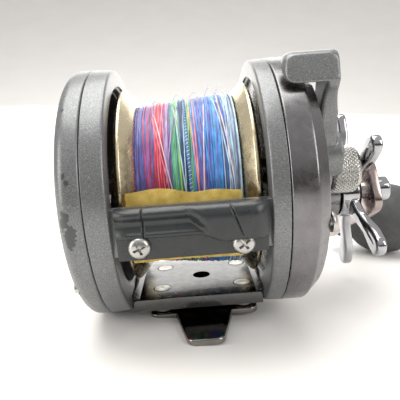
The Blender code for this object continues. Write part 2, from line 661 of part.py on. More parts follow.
# Handle train -------------------------------------------------------------------------------
def drive_gear():
    teeth = gear_outline(GEAR_TEETH, turn=GEAR_LINE + math.pi)
    body = prism("drive_gear", teeth, rx(25.2), rx(28.6), "X", brass(), place=(0.0, *DRIVE_AXIS))
    join(body, tube("drive_gear_cup", rx(27.0), rx(31.0), 0.0, 11.4, DRIVE_AXIS, brass(), MIDDLE))
    return cut(body, tube("drive_gear_recess", rx(26.4), rx(33), 0.0, 10.2, DRIVE_AXIS, brass(), MIDDLE),
               tube("drive_gear_bore", rx(20), rx(33), 0.0, 3.75, DRIVE_AXIS, brass(), SMALL))


def drag_stack():
    start, thick, step = 26.6, 0.7, 0.9
    for i, (name, material) in enumerate((("drag_washer_1", carbon()), ("metal_washer", steel()),
                                          ("drag_washer_2", carbon()))):
        low = start + i * step
        tube(name, rx(low), rx(low + thick), 3.85, 9.8, DRIVE_AXIS, material, SMALL)
    tube("pressure_plate", rx(29.4), rx(30.6), 3.85, 9.8, DRIVE_AXIS, steel(), SMALL)
    cone = [(rx(31.9), 3.85), (rx(31.0), 7.2), (rx(31.5), 7.2), (rx(32.4), 3.85)]
    turned("spring_washer", cone, DRIVE_AXIS, steel(), SMALL)


def drive_shaft():
    profile = [(rx(21.1), 0.0), (rx(21.1), 3.0), (rx(23.0), 3.0), (rx(23.0), 5.2), (rx(23.4), 5.2),
               (rx(23.4), 3.5), (rx(57.9), 3.5), (rx(57.9), 3.0), (rx(65.0), 3.0), (rx(65.3), 2.6),
               (rx(65.3), 0.0)]
    return turned("drive_shaft", profile[::-1], DRIVE_AXIS, steel(), SMALL)


def drive_supports():
    bearing("drive_bush", rx(21.1), rx(22.8), 3.1, 4.7, DRIVE_AXIS, steel())
    teeth = saw_outline(16, 8.6, 7.4)
    wheel = prism("ratchet", teeth, rx(23.6), rx(24.8), "X", steel(), place=(0.0, *DRIVE_AXIS))
    cut(wheel, tube("ratchet_bore", rx(20), rx(30), 0.0, 3.6, DRIVE_AXIS, steel(), SMALL))
    tube("one_way_bearing", rx(36.0), rx(47.2), 5.2, 7.45, DRIVE_AXIS, steel(), SMALL)
    tube("bearing_sleeve", rx(33.2), rx(49.5), 3.65, 5.0, DRIVE_AXIS, steel(), SMALL)


def dog():
    """Anti-reverse dog on its post, its nose just clear of the ratchet's teeth."""
    toward = math.atan2(DRIVE_AXIS[1] - DOG_AXIS[1], DRIVE_AXIS[0] - DOG_AXIS[0])
    reach = math.hypot(DRIVE_AXIS[1] - DOG_AXIS[1], DRIVE_AXIS[0] - DOG_AXIS[0]) - 8.6 - 1.2
    nose = (DOG_AXIS[0] + reach * math.cos(toward), DOG_AXIS[1] + reach * math.sin(toward))
    outline = capsule(DOG_AXIS, nose, 2.4, 0.8)
    body = prism("anti_reverse_dog", outline, rx(23.5), rx(24.7), "X", steel())
    cut(body, tube("anti_reverse_dog_bore", rx(20), rx(30), 0.0, 1.25, DOG_AXIS, steel(), FINE))
    tube("dog_post", rx(21.2), rx(25.4), 0.0, 1.0, DOG_AXIS, steel(), FINE)


def star_drag():
    hub = turned("star_drag", [(rx(49.9), 3.7), (rx(49.9), 8.2), (rx(50.2), 8.5), (rx(55.6), 8.5),
                               (rx(56.6), 7.6),
                               (rx(56.6), 3.7)], DRIVE_AXIS, chrome(), MIDDLE)
    for i in range(5):
        angle = math.radians(STAR_PHASE + 72 * i)
        tip = (DRIVE_AXIS[0] + STAR_TIP_R * math.cos(angle), DRIVE_AXIS[1] + STAR_TIP_R * math.sin(angle))
        root = (DRIVE_AXIS[0] + 6.4 * math.cos(angle), DRIVE_AXIS[1] + 6.4 * math.sin(angle))
        arm = prism(f"star_drag_arm_{i}", capsule(root, tip, 2.2, 3.2, 6), rx(52.4), rx(55.6), "X", chrome())
        for vertex in arm.data.vertices:
            out = math.hypot(vertex.co.y / MM - DRIVE_AXIS[0], vertex.co.z / MM - DRIVE_AXIS[1])
            vertex.co.x += 1.5 * MM * min(1.0, max(0.0, (out - 9.0) / 12.0))
        join(hub, arm)
    return hub


def handle():
    near = math.atan2(KNOB_AXIS[1] - DRIVE_AXIS[1], KNOB_AXIS[0] - DRIVE_AXIS[0])
    length = math.hypot(KNOB_AXIS[1] - DRIVE_AXIS[1], KNOB_AXIS[0] - DRIVE_AXIS[0])
    plan = [(-8.6, -8.2), (-7.4, -9.2), (6.0, -9.2)]
    plan += [(length * 0.55, -7.0)] + arc((length, 0.0), 6.6, -90, 90, 10) + [(length * 0.55, 7.0)]
    plan += [(6.0, 9.2), (-7.4, 9.2), (-8.6, 8.2)]
    turned_plan = [(DRIVE_AXIS[0] + a * math.cos(near) - b * math.sin(near),
                    DRIVE_AXIS[1] + a * math.sin(near) + b * math.cos(near)) for a, b in plan]
    arm = prism("handle_arm", turned_plan, ARM_IN, ARM_IN + ARM_THICK, "X", chrome())
    cut(arm, tube("handle_arm_bore", ARM_IN - 5, ARM_IN + 8, 0.0, 3.1, DRIVE_AXIS, chrome(), SMALL),
        tube("handle_arm_pin_hole", ARM_IN - 5, ARM_IN + 8, 0.0, 2.6, KNOB_AXIS, chrome(), SMALL))
    low = ARM_IN + ARM_THICK + GAP
    nut = [polar(DRIVE_AXIS, 4.9, 30 + 60 * i) for i in range(6)]
    body = prism("handle_nut", nut, low, low + 5.2, "X", chrome())
    cut(body, tube("handle_nut_bore", low - 1, low + 4.6, 0.0, 3.1, DRIVE_AXIS, chrome(), SMALL))


def knob_parts():
    face = ARM_IN + ARM_THICK
    post = [(ARM_IN + 0.1, 0.0), (ARM_IN + 0.1, 2.5), (face + GAP, 2.5), (face + GAP, 4.4), (face + 1.2,
                                                                                             4.4),
            (face + 1.2, 2.4), (face + 30.0, 2.4), (face + 30.0, 0.0)]
    turned("knob_post", post[::-1], KNOB_AXIS, steel(), SMALL)
    mid, half = 82.7, 15.6
    outer = []
    for i in range(2, 10):
        turn = math.pi * i / 10
        outer.append((mid - half * math.cos(turn), KNOB_R * math.sin(turn) ** 0.8))
    profile = [(face + 1.6, 3.6), (face + 1.6, 6.2), (face + 4.0, 6.6)] + outer
    profile += [(mid + half - 0.5, 5.0), (mid + half - 2.5, 4.6), (mid + half - 2.5, 3.6)]
    turned("knob", profile, KNOB_AXIS, knob_plastic(), MIDDLE)
    tube("knob_bush", face + 2.0, face + 28.0, 2.5, 3.5, KNOB_AXIS, brass(), SMALL)
    cap = mid + half - 2.2
    turned("knob_cap", [(cap, 0.0), (cap, 4.3), (cap + 1.5, 4.3), (cap + 2.0, 3.4), (cap + 2.0, 0.0)][::-1],
           KNOB_AXIS, steel(), SMALL)


def clear_scene():
    for item in list(bpy.data.objects):
        bpy.data.objects.remove(item, do_unlink=True)


def main():
    clear_scene()
    for make in (frame, thumb_rest, thumb_screws, tape_strip, left_cover, left_cover_screws, right_cover,
                 right_cover_screws, gear_plate, reel_foot, foot_rivets, spool, line_pack, spool_shaft,
                 spool_pin, spool_bearings, cast_control, clicker, pinion, yoke, yoke_hardware, clutch_cam,
                 clutch_lever, drive_gear, drag_stack, drive_shaft, drive_supports, dog, star_drag, handle,
                 knob_parts):
        make()


main()
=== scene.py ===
"""Looks of the star-drag trolling reel.

Every length in this file is in millimetres and is turned into metres when a mesh is made. The
model's frame is the CAD one: +X along the spool axis towards the handle, +Y towards the rod tip,
+Z up. Places come from the CAD nodes' boxes; the finer profiles are drawn from them.
"""
import functools
import math
import random

import bmesh
import bpy
from mathutils import Matrix, Vector, noise

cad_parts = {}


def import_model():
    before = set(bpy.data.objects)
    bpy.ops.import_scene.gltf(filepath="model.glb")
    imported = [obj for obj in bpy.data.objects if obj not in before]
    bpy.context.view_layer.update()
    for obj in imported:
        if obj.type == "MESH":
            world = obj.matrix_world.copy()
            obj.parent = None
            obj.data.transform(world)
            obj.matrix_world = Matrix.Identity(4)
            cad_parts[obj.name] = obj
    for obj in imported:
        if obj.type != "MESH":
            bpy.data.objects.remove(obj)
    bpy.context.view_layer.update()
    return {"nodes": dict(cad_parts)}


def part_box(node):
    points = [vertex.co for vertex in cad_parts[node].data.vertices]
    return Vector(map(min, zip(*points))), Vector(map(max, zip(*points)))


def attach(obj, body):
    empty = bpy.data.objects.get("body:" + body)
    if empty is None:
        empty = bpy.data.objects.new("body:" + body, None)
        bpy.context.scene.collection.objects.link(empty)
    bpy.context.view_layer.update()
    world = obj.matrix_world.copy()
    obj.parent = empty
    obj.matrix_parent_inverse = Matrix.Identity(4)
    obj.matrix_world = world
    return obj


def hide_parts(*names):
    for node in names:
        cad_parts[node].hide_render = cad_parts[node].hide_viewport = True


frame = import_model()
MM = 0.001
FINE_STEPS = 160                # divisions round the large turned pieces
SMALL_STEPS = 56                # divisions round the small ones


# --- Places read from the frame ---
@functools.cache
def low(node):
    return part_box(node)[0] / MM


@functools.cache
def high(node):
    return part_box(node)[1] / MM


def axis_of(node):
    """The (y, z) middle of a node whose axis lies along X."""
    middle = (low(node) + high(node)) / 2
    return (middle.y, middle.z)


def radius_of(node):
    return (high(node).y - low(node).y) / 2


PLATE_AXIS = axis_of("left_cover")
PLATE_R = radius_of("left_cover")
SPOOL_AXIS = axis_of("spool")
SPOOL_MID_X = (low("spool").x + high("spool").x) / 2
FLANGE_R = radius_of("spool")
DRIVE_AXIS = axis_of("drive_shaft")
KNOB_AXIS = axis_of("knob")
KNOB_R = radius_of("knob")
BORE_R = FLANGE_R + 0.6
LEFT_SEAM = high("left_cover").x - 3.2
RIGHT_SEAM = low("right_cover").x
BRIDGE_LOW = 5.3
BRIDGE_TOP = high("foot_rivet_1").z
LEVER_AXIS = (-12.0, 46.2)


# --- Node materials ---
def rgb(red, green, blue):
    """A colour given as 0 to 255 display values, in linear light."""
    values = [value / 255 for value in (red, green, blue)]
    return tuple(v / 12.92 if v <= 0.04045 else ((v + 0.055) / 1.055) ** 2.4 for v in values) + (1.0,)


def new_material(name, roughness, metallic, **extra):
    made = bpy.data.materials.new(name)
    made.use_nodes = True
    shader = made.node_tree.nodes["Principled BSDF"]
    shader.inputs["Roughness"].default_value = roughness
    shader.inputs["Metallic"].default_value = metallic
    for socket, value in extra.items():
        shader.inputs[socket.replace("_", " ")].default_value = value
    return made, made.node_tree, shader


def place(tree, stretch=(1.0, 1.0, 1.0)):
    """Object coordinates in millimetres, stretched along the axes."""
    coordinates = tree.nodes.new("ShaderNodeTexCoord")
    mapping = tree.nodes.new("ShaderNodeMapping")
    mapping.inputs["Scale"].default_value = [factor / MM for factor in stretch]
    tree.links.new(coordinates.outputs["Object"], mapping.inputs["Vector"])
    return mapping.outputs["Vector"]


def cloud(tree, size, detail=3.0, stretch=(1.0, 1.0, 1.0)):
    """Noise whose features are about size millimetres across."""
    made = tree.nodes.new("ShaderNodeTexNoise")
    made.inputs["Scale"].default_value = 1.0 / size
    made.inputs["Detail"].default_value = detail
    tree.links.new(place(tree, stretch), made.inputs["Vector"])
    return made.outputs["Fac"]


def ramp(tree, value, stops):
    made = tree.nodes.new("ShaderNodeValToRGB")
    while len(made.color_ramp.elements) < len(stops):
        made.color_ramp.elements.new(0.5)
    for element, (position, colour) in zip(made.color_ramp.elements, stops):
        element.position = position
        element.color = colour
    tree.links.new(value, made.inputs["Fac"])
    return made.outputs["Color"]


def feed(tree, sockets, values):
    """Links the values that are sockets, and stores the ones that are numbers or colours."""
    for socket, value in zip(sockets, values):
        if isinstance(value, bpy.types.NodeSocket):
            tree.links.new(value, socket)
        else:
            socket.default_value = value


def blend(tree, factor, first, second):
    made = tree.nodes.new("ShaderNodeMix")
    made.data_type = "RGBA"
    feed(tree, (made.inputs[0], made.inputs[6], made.inputs[7]), (factor, first, second))
    return made.outputs[2]


def maths(tree, operation, first, second):
    made = tree.nodes.new("ShaderNodeMath")
    made.operation = operation
    feed(tree, made.inputs, (first, second))
    return made.outputs["Value"]


def vector_maths(tree, operation, *values):
    made = tree.nodes.new("ShaderNodeVectorMath")
    made.operation = operation
    feed(tree, made.inputs, values)
    return made.outputs["Value" if operation == "LENGTH" else "Vector"]


def level(tree, value, low_out, high_out, low_in=0.3, high_in=0.7):
    """Maps a value's range onto another."""
    made = tree.nodes.new("ShaderNodeMapRange")
    sockets = [made.inputs[name] for name in ("Value", "From Min", "From Max", "To Min", "To Max")]
    feed(tree, sockets, (value, low_in, high_in, low_out, high_out))
    return made.outputs["Result"]


def bump(tree, shader, height, depth):
    """Bumps depth millimetres high."""
    made = tree.nodes.new("ShaderNodeBump")
    made.inputs["Distance"].default_value = depth * MM
    tree.links.new(height, made.inputs["Height"])
    tree.links.new(made.outputs["Normal"], shader.inputs["Normal"])


def chip_mask(tree, spots):
    """1 inside rough-edged chips. Each spot is (x, y, z, radius, radius along z)."""
    total = None
    ragged = level(tree, cloud(tree, 1.6, 4.0), -0.6, 0.6)
    for x, y, z, across, tall in spots:
        offset = vector_maths(tree, "SUBTRACT", place(tree), (x, y, z))
        scaled = vector_maths(tree, "DIVIDE", offset, (across, across, tall))
        reach = maths(tree, "ADD", vector_maths(tree, "LENGTH", scaled), ragged)
        inside = level(tree, reach, 1.0, 0.0, 0.95, 1.05)
        total = inside if total is None else maths(tree, "MAXIMUM", total, inside)
    return total


def speckled_paint(name, chips=(), chip_colour=None):
    """Metallic-flake grey paint, with fine sparkle, orange peel and chips."""
    made, tree, shader = new_material(name, 0.36, 0.62, Coat_Weight=0.18, Coat_Roughness=0.22)
    flakes = [(0.30, rgb(78, 79, 80)), (0.50, rgb(110, 112, 113)), (0.64, rgb(141, 143, 143)),
              (0.78, rgb(198, 200, 198))]
    flake = ramp(tree, cloud(tree, 0.24, 2.0), flakes)
    drift = ramp(tree, cloud(tree, 9.0, 3.0), [(0.3, rgb(106, 108, 109)), (0.7, rgb(121, 123, 123))])
    colour = blend(tree, 0.55, drift, flake)
    if chips:
        colour = blend(tree, chip_mask(tree, chips), colour, chip_colour)
    tree.links.new(colour, shader.inputs["Base Color"])
    tree.links.new(level(tree, cloud(tree, 0.3), 0.30, 0.46), shader.inputs["Roughness"])
    bump(tree, shader, cloud(tree, 0.22, 2.0), 0.012)
    return made


def worn_metal(name, dark, light, roughness, grain=(1.0, 1.0, 1.0), scratch=0.006):
    """Bare or plated metal: smudged tone, uneven gloss, and fine grain stretched along one way."""
    made, tree, shader = new_material(name, roughness, 1.0)
    colour = ramp(tree, cloud(tree, 5.0, 4.0), [(0.3, dark), (0.7, light)])
    tree.links.new(colour, shader.inputs["Base Color"])
    smudge = cloud(tree, 2.2, 5.0)
    tree.links.new(level(tree, smudge, roughness * 0.75, roughness * 1.35), shader.inputs["Roughness"])
    bump(tree, shader, cloud(tree, 0.35, 2.0, grain), scratch)
    return made


def moulded(name, dark, light, roughness, depth=0.03, size=0.35):
    """Moulded plastic or rubber with a fine spark-eroded grain."""
    made, tree, shader = new_material(name, roughness, 0.0)
    colour = ramp(tree, cloud(tree, 3.0, 4.0), [(0.3, dark), (0.7, light)])
    tree.links.new(colour, shader.inputs["Base Color"])
    gloss = level(tree, cloud(tree, 1.4), roughness * 0.85, roughness * 1.2)
    tree.links.new(gloss, shader.inputs["Roughness"])
    bump(tree, shader, cloud(tree, size, 2.0), depth)
    return made


def carbon_weave():
    made, tree, shader = new_material("carbon_weave", 0.55, 0.0)
    checks = tree.nodes.new("ShaderNodeTexChecker")
    checks.inputs["Scale"].default_value = 1.1
    checks.inputs["Color1"].default_value = rgb(34, 34, 36)
    checks.inputs["Color2"].default_value = rgb(62, 62, 64)
    tree.links.new(place(tree), checks.inputs["Vector"])
    tree.links.new(checks.outputs["Color"], shader.inputs["Base Color"])
    bump(tree, shader, checks.outputs["Fac"], 0.03)
    return made


def braid_line(name, colour):
    """Braided line: a fine diagonal plait over a colour that fades a little along it."""
    made, tree, shader = new_material(f"line_{name}", 0.38, 0.0, Coat_Weight=0.25, Coat_Roughness=0.3)
    faded = tuple(min(1.0, c * 1.35 + 0.04) for c in colour[:3]) + (1.0,)
    deep = tuple(c * 0.62 for c in colour[:3]) + (1.0,)
    strands = cloud(tree, 0.9, 4.0, (1.0, 0.25, 0.25))
    tones = ramp(tree, strands, [(0.3, deep), (0.5, colour), (0.75, faded)])
    tree.links.new(tones, shader.inputs["Base Color"])
    bump(tree, shader, cloud(tree, 0.14, 1.0), 0.04)
    return made


def clear_nylon():
    made, tree, shader = new_material("clear_nylon", 0.12, 0.0, Transmission_Weight=0.55, IOR=1.5)
    colour = ramp(tree, cloud(tree, 2.0), [(0.3, rgb(214, 222, 230)), (0.7, rgb(242, 244, 246))])
    tree.links.new(colour, shader.inputs["Base Color"])
    return made


def crinkled_tape():
    made, tree, shader = new_material("crinkled_tape", 0.62, 0.0)
    shades = [(0.3, rgb(168, 142, 60)), (0.5, rgb(196, 168, 82)), (0.72, rgb(214, 190, 108))]
    tree.links.new(ramp(tree, cloud(tree, 2.6, 5.0), shades), shader.inputs["Base Color"])
    bump(tree, shader, cloud(tree, 0.5, 4.0, (2.2, 1.0, 0.5)), 0.08)
    return made


# Chips in the left cover's paint: x, y, z, radius, radius along z.
CHIPS = [(-30.1, -36.0, 37.4, 1.5, 2.7), (-29.3, -35.8, 34.2, 1.4, 3.0), (-25.3, -19.3, 68.4, 0.5, 0.8),
         (-30.1, -26.2, 62.7, 0.5, 0.6), (-25.4, -33.2, 52.0, 0.4, 0.8), (-29.4, -34.6, 48.0, 0.5, 0.9),
         (-28.8, -35.0, 46.4, 0.5, 0.8), (-25.7, -36.0, 37.1, 0.4, 0.7), (-25.6, -35.4, 31.2, 0.5, 0.6)]
PAINT = speckled_paint("speckled_paint")
PAINT_CHIPPED = speckled_paint("speckled_paint_chipped", CHIPS, rgb(76, 79, 79))
LEVER_PIT = (26.6, -22.4, 71.1, 0.5, 0.5)
PAINT_LEVER = speckled_paint("speckled_paint_lever", [LEVER_PIT], rgb(30, 28, 28))
CASE = worn_metal("case_gunmetal", rgb(114, 112, 114), rgb(126, 125, 126), 0.24, (4.0, 0.3, 0.3))
BRIDGE = worn_metal("bridge_gunmetal", rgb(84, 84, 84), rgb(94, 94, 93), 0.22, (0.3, 3.0, 1.0))
CHROME = worn_metal("chrome_plate", rgb(158, 158, 162), rgb(176, 176, 180), 0.07, scratch=0.002)
FOOT_CHROME = worn_metal("foot_chrome", rgb(120, 116, 112), rgb(150, 146, 142), 0.14, (2.0, 0.3, 1.0), 0.01)
ARM_METAL = worn_metal("arm_metal", rgb(150, 138, 134), rgb(172, 160, 156), 0.16, (1.0, 3.0, 0.5))
SILVER = worn_metal("silver_satin", rgb(168, 167, 164), rgb(188, 187, 183), 0.26)
STEEL = worn_metal("turned_steel", rgb(176, 176, 176), rgb(198, 198, 196), 0.22, (5.0, 0.5, 0.5))
RIVET = worn_metal("rivet_steel", rgb(160, 158, 152), rgb(178, 176, 170), 0.36)
BRASS = worn_metal("cut_brass", rgb(192, 158, 92), rgb(214, 182, 112), 0.28, (5.0, 0.5, 0.5))
GOLD = worn_metal("champagne_anodised", rgb(204, 190, 160), rgb(212, 198, 168), 0.25, (6.0, 0.4, 0.4), 0.001)
PLASTIC = moulded("satin_plastic", rgb(36, 39, 41), rgb(42, 45, 47), 0.30)
DARK_PLASTIC = moulded("button_plastic", rgb(40, 42, 44), rgb(50, 52, 54), 0.45)
KNOB_SKIN = moulded("knob_rubber", rgb(60, 61, 62), rgb(70, 71, 72), 0.58, 0.05, 0.45)
CARBON = carbon_weave()
NYLON = clear_nylon()
TAPE = crinkled_tape()

PALETTE = {"plum": (104, 74, 128), "violet": (92, 92, 168), "red": (198, 42, 74),
           "crimson": (170, 28, 58), "rose": (224, 120, 140), "pale": (226, 200, 208),
           "lavender": (168, 140, 190), "teal": (72, 150, 152), "green": (96, 172, 128),
           "lime": (158, 204, 78), "navy": (30, 66, 108), "ice": (178, 206, 222),
           "salmon": (222, 132, 116), "royal": (48, 96, 190), "sky": (64, 142, 208),
           "mist": (150, 170, 196), "slate": (84, 98, 128)}
LINE = {name: braid_line(name, rgb(*colour)) for name, colour in PALETTE.items()}


# --- Mesh builders ---
def piece(name, bm, material, body, replaced=(), sharp=32.0):
    """Turns a bmesh in millimetres into a named piece that rides on a CAD body."""
    bmesh.ops.remove_doubles(bm, verts=bm.verts, dist=1e-4)
    bmesh.ops.recalc_face_normals(bm, faces=bm.faces)
    bmesh.ops.transform(bm, matrix=Matrix.Diagonal((MM, MM, MM, 1.0)), verts=bm.verts)
    mesh = bpy.data.meshes.new(name)
    bm.to_mesh(mesh)
    bm.free()
    mesh.shade_smooth()
    mesh.set_sharp_from_angle(angle=math.radians(sharp))
    for one in material if isinstance(material, list) else [material]:
        mesh.materials.append(one)
    made = bpy.data.objects.new(name, mesh)
    bpy.context.scene.collection.objects.link(made)
    if body:
        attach(made, body)
    if replaced:
        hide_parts(*replaced)
    return made


def settle(obj):
    """Bakes an object's modifiers into its mesh."""
    graph = bpy.context.evaluated_depsgraph_get()
    mesh = bpy.data.meshes.new_from_object(obj.evaluated_get(graph))
    obj.modifiers.clear()
    obj.data = mesh
    return obj


def carve(obj, *cutters):
    """Cuts the closed shapes out of a piece, and removes them."""
    for cutter in cutters:
        change = obj.modifiers.new("carve", "BOOLEAN")
        change.operation = "DIFFERENCE"
        change.solver = "EXACT"
        change.object = cutter
    settle(obj)
    for cutter in cutters:
        bpy.data.objects.remove(cutter, do_unlink=True)
    obj.data.set_sharp_from_angle(angle=math.radians(32))
    return obj


def fuse(obj, voxel, rounds):
    """Melts overlapping closed shapes into one casting with soft inside corners."""
    remesh = obj.modifiers.new("remesh", "REMESH")
    remesh.mode = "VOXEL"
    remesh.voxel_size = voxel * MM
    smooth = obj.modifiers.new("smooth", "SMOOTH")
    smooth.iterations = rounds
    smooth.factor = 0.5
    settle(obj)
    obj.data.shade_smooth()
    return obj


def fillet(points, radius, steps=4):
    """Rounds the corners of an outline. radius is one number or one for each corner."""
    radii = radius if isinstance(radius, list) else [radius] * len(points)
    result = []
    for i, point in enumerate(points):
        here = Vector(point)
        before = Vector(points[i - 1]) - here
        after = Vector(points[(i + 1) % len(points)]) - here
        reach = min(radii[i], before.length * 0.48, after.length * 0.48)
        if reach < 0.02:
            result.append(tuple(point))
            continue
        start, end = here + before.normalized() * reach, here + after.normalized() * reach
        for k in range(steps + 1):
            t = k / steps
            result.append(tuple(start * (1 - t) ** 2 + here * 2 * t * (1 - t) + end * t ** 2))
    return result


def spin(bm, profile, axis, steps=FINE_STEPS, bore_axis=None, bore_below=0.0):
    """Spins a closed (x, radius) profile about X. Points below bore_below turn about bore_axis."""
    rings = []
    for x, r in profile:
        y, z = bore_axis if bore_axis and r < bore_below else axis
        count = 1 if r < 1e-6 else steps
        rings.append([bm.verts.new((x, y + r * math.cos(2 * math.pi * i / steps),
                                    z + r * math.sin(2 * math.pi * i / steps))) for i in range(count)])
    for first, second in zip(rings, rings[1:] + rings[:1]):
        for i in range(steps):
            j = (i + 1) % steps
            corners = [first[i % len(first)], first[j % len(first)],
                       second[j % len(second)], second[i % len(second)]]
            unique = list(dict.fromkeys(corners))
            if len(unique) > 2:
                bm.faces.new(unique)
    return bm


def turned(name, profile, axis, material, body, replaced=(), steps=SMALL_STEPS):
    return piece(name, spin(bmesh.new(), profile, axis, steps), material, body, replaced)


def bridge(bm, first, second, material=0):
    """Faces between two rings that have as many vertices."""
    for i in range(len(first)):
        j = (i + 1) % len(first)
        bm.faces.new((first[i], first[j], second[j], second[i])).material_index = material


def inset(outline, distance):
    """Moves an anticlockwise or clockwise outline inwards."""
    area = sum(a[0] * b[1] - b[0] * a[1] for a, b in zip(outline, outline[1:] + outline[:1]))
    sign = 1.0 if area > 0 else -1.0
    moved = []
    for i, point in enumerate(outline):
        here = Vector(point)
        one = (here - Vector(outline[i - 1])).normalized()
        two = (Vector(outline[(i + 1) % len(outline)]) - here).normalized()
        normal = Vector((-(one.y + two.y), one.x + two.x)) * sign
        normal = normal.normalized() if normal.length > 1e-6 else Vector((0.0, 0.0))
        share = max(0.5, math.sqrt(max(0.0, (1 + one.dot(two)) / 2)))
        moved.append(tuple(here + normal * distance / share))
    return moved


def slab(bm, outline, start, end, spot, edge=0.5, steps=3):
    """A plate with rounded rims. spot(a, b, c) gives the point for an outline point at height c."""
    layers = []
    for k in range(steps + 1):
        turn = math.pi / 2 * k / steps
        layers.append((start + edge * (1 - math.sin(turn)), edge * (1 - math.cos(turn))))
    heights = layers[::-1] + [(end - (c - start), d) for c, d in layers]
    rings = []
    for height, distance in heights:
        shape = inset(outline, distance) if distance > 1e-6 else outline
        rings.append([bm.verts.new(spot(a, b, height)) for a, b in shape])
    for first, second in zip(rings, rings[1:]):
        bridge(bm, first, second)
    bm.faces.new(rings[0][::-1])
    bm.faces.new(rings[-1])
    return bm


def along_x(a, b, c):
    return (c, a, b)


def along_y(a, b, c):
    return (a, c, b)


def along_z(a, b, c):
    return (a, b, c)


def rectangle(a_low, a_high, b_low, b_high):
    return [(a_low, b_low), (a_high, b_low), (a_high, b_high), (a_low, b_high)]


def arc(centre, radius, start, end, count):
    turns = [math.radians(start + (end - start) * i / count) for i in range(count + 1)]
    return [(centre[0] + radius * math.cos(t), centre[1] + radius * math.sin(t)) for t in turns]


def capsule(start, end, r_start, r_end, count=12):
    heading = math.degrees(math.atan2(end[1] - start[1], end[0] - start[0]))
    return (arc(end, r_end, heading - 90, heading + 90, count)
            + arc(start, r_start, heading + 90, heading + 270, count))


def cutting_tool(outline, start, end, spot=along_x, edge=0.01):
    """A closed shape for carve, which removes it after use."""
    return piece("cutter", slab(bmesh.new(), outline, start, end, spot, edge, 1), STEEL, None)


def cylinder(start, end, radius, axis, spot=along_x):
    return cutting_tool(arc(axis, radius, 0, 360, 40)[:-1], start, end, spot, 0.02)


def sweep(bm, path, radius, closed=False, sides=6, material=0):
    """A round strand along a list of points."""
    rings = []
    count = len(path)
    for i, point in enumerate(path):
        before = path[i - 1] if closed or i else path[i]
        after = path[(i + 1) % count] if closed or i < count - 1 else path[i]
        forward = (Vector(after) - Vector(before)).normalized()
        side = forward.cross(Vector((1.0, 0.0, 0.0)))
        side = side.normalized() if side.length > 0.05 else Vector((0.0, 0.0, 1.0))
        other = forward.cross(side).normalized()
        rings.append([bm.verts.new(Vector(point) + radius * (side * math.cos(a) + other * math.sin(a)))
                      for a in (2 * math.pi * k / sides for k in range(sides))])
    pairs = list(zip(rings, rings[1:])) + ([(rings[-1], rings[0])] if closed else [])
    for first, second in pairs:
        bridge(bm, first, second, material)
    if not closed:
        for cap in (rings[0][::-1], rings[-1]):
            bm.faces.new(cap).material_index = material
    return bm


# --- Frame and covers ---
def frame_ring(bm, start, end, spool_side_at_end):
    """A ring with rounded rims, and a rolled lip round its bore on the spool side."""
    inside, outside = (end, start) if spool_side_at_end else (start, end)
    inward = 1.0 if spool_side_at_end else -1.0
    profile = [(outside, BORE_R), (outside, PLATE_R), (inside, PLATE_R - 0.3), (inside, BORE_R + 1.8),
               (inside - 0.9 * inward, BORE_R)]
    spin(bm, fillet(profile, [0.2, 0.25, 0.9, 0.5, 0.4], 5), PLATE_AXIS, FINE_STEPS, SPOOL_AXIS, BORE_R + 2.2)


def frame_casting():
    left_in, right_in, overlap = -20.2, 17.4, 0.8
    bm = bmesh.new()
    frame_ring(bm, low("frame").x, left_in, True)
    frame_ring(bm, right_in, high("frame").x, False)
    rear = fillet(arc(PLATE_AXIS, 30.4, 178, 199, 10) + [(-33.4, 27.4), (-33.4, 39.0)], 0.3, 3)
    front = fillet(arc(PLATE_AXIS, 30.6, -4, 10, 10) + arc(PLATE_AXIS, 35.0, 10, -4, 10), 0.6, 3)
    for bar in (rear, front):
        slab(bm, bar, left_in - overlap, right_in + overlap, along_x, 0.2)
    piece("frame_casting", bm, PAINT, "root", ("frame",))


def bridge_plate():
    """Satin plate under the spool, creased across the middle, with sloping ends up to the rings."""
    half_y, crease, sink = 16.5, 0.12, 0.6
    rim = BRIDGE_TOP - crease
    side = [(-half_y, BRIDGE_LOW), (half_y, BRIDGE_LOW), (half_y, rim), (1.5, BRIDGE_TOP), (-half_y, rim)]
    bm = slab(bmesh.new(), fillet(side, 0.25, 3), -19.9, 17.1, along_x, 0.1)
    plate = piece("bridge_plate", bm, BRIDGE, "root", ())
    holes = [cylinder(2.0, 12.0, 2.75, (0.0, 0.0), along_z)]
    holes += [cylinder(BRIDGE_TOP - sink, BRIDGE_TOP + 2, 2.72, spot, along_z) for spot in rivet_spots()]
    carve(plate, *holes)
    bm = bmesh.new()
    low_z, high_z, reach = BRIDGE_TOP - 0.2, BRIDGE_TOP + 1.5, half_y - 0.4
    for foot, top in ((-18.1, -20.3), (15.4, 17.5)):
        wedge = [(foot, low_z), (top, low_z), (top, high_z)]
        slab(bm, fillet(wedge, 0.15, 2), -reach, reach, along_y, 0.1)
    piece("bridge_end_webs", bm, BRIDGE, "root", ())


def rivet_spots():
    spots = []
    for number in range(1, 5):
        middle = (low(f"foot_rivet_{number}") + high(f"foot_rivet_{number}")) / 2
        spots.append((middle.x, middle.y))
    return spots


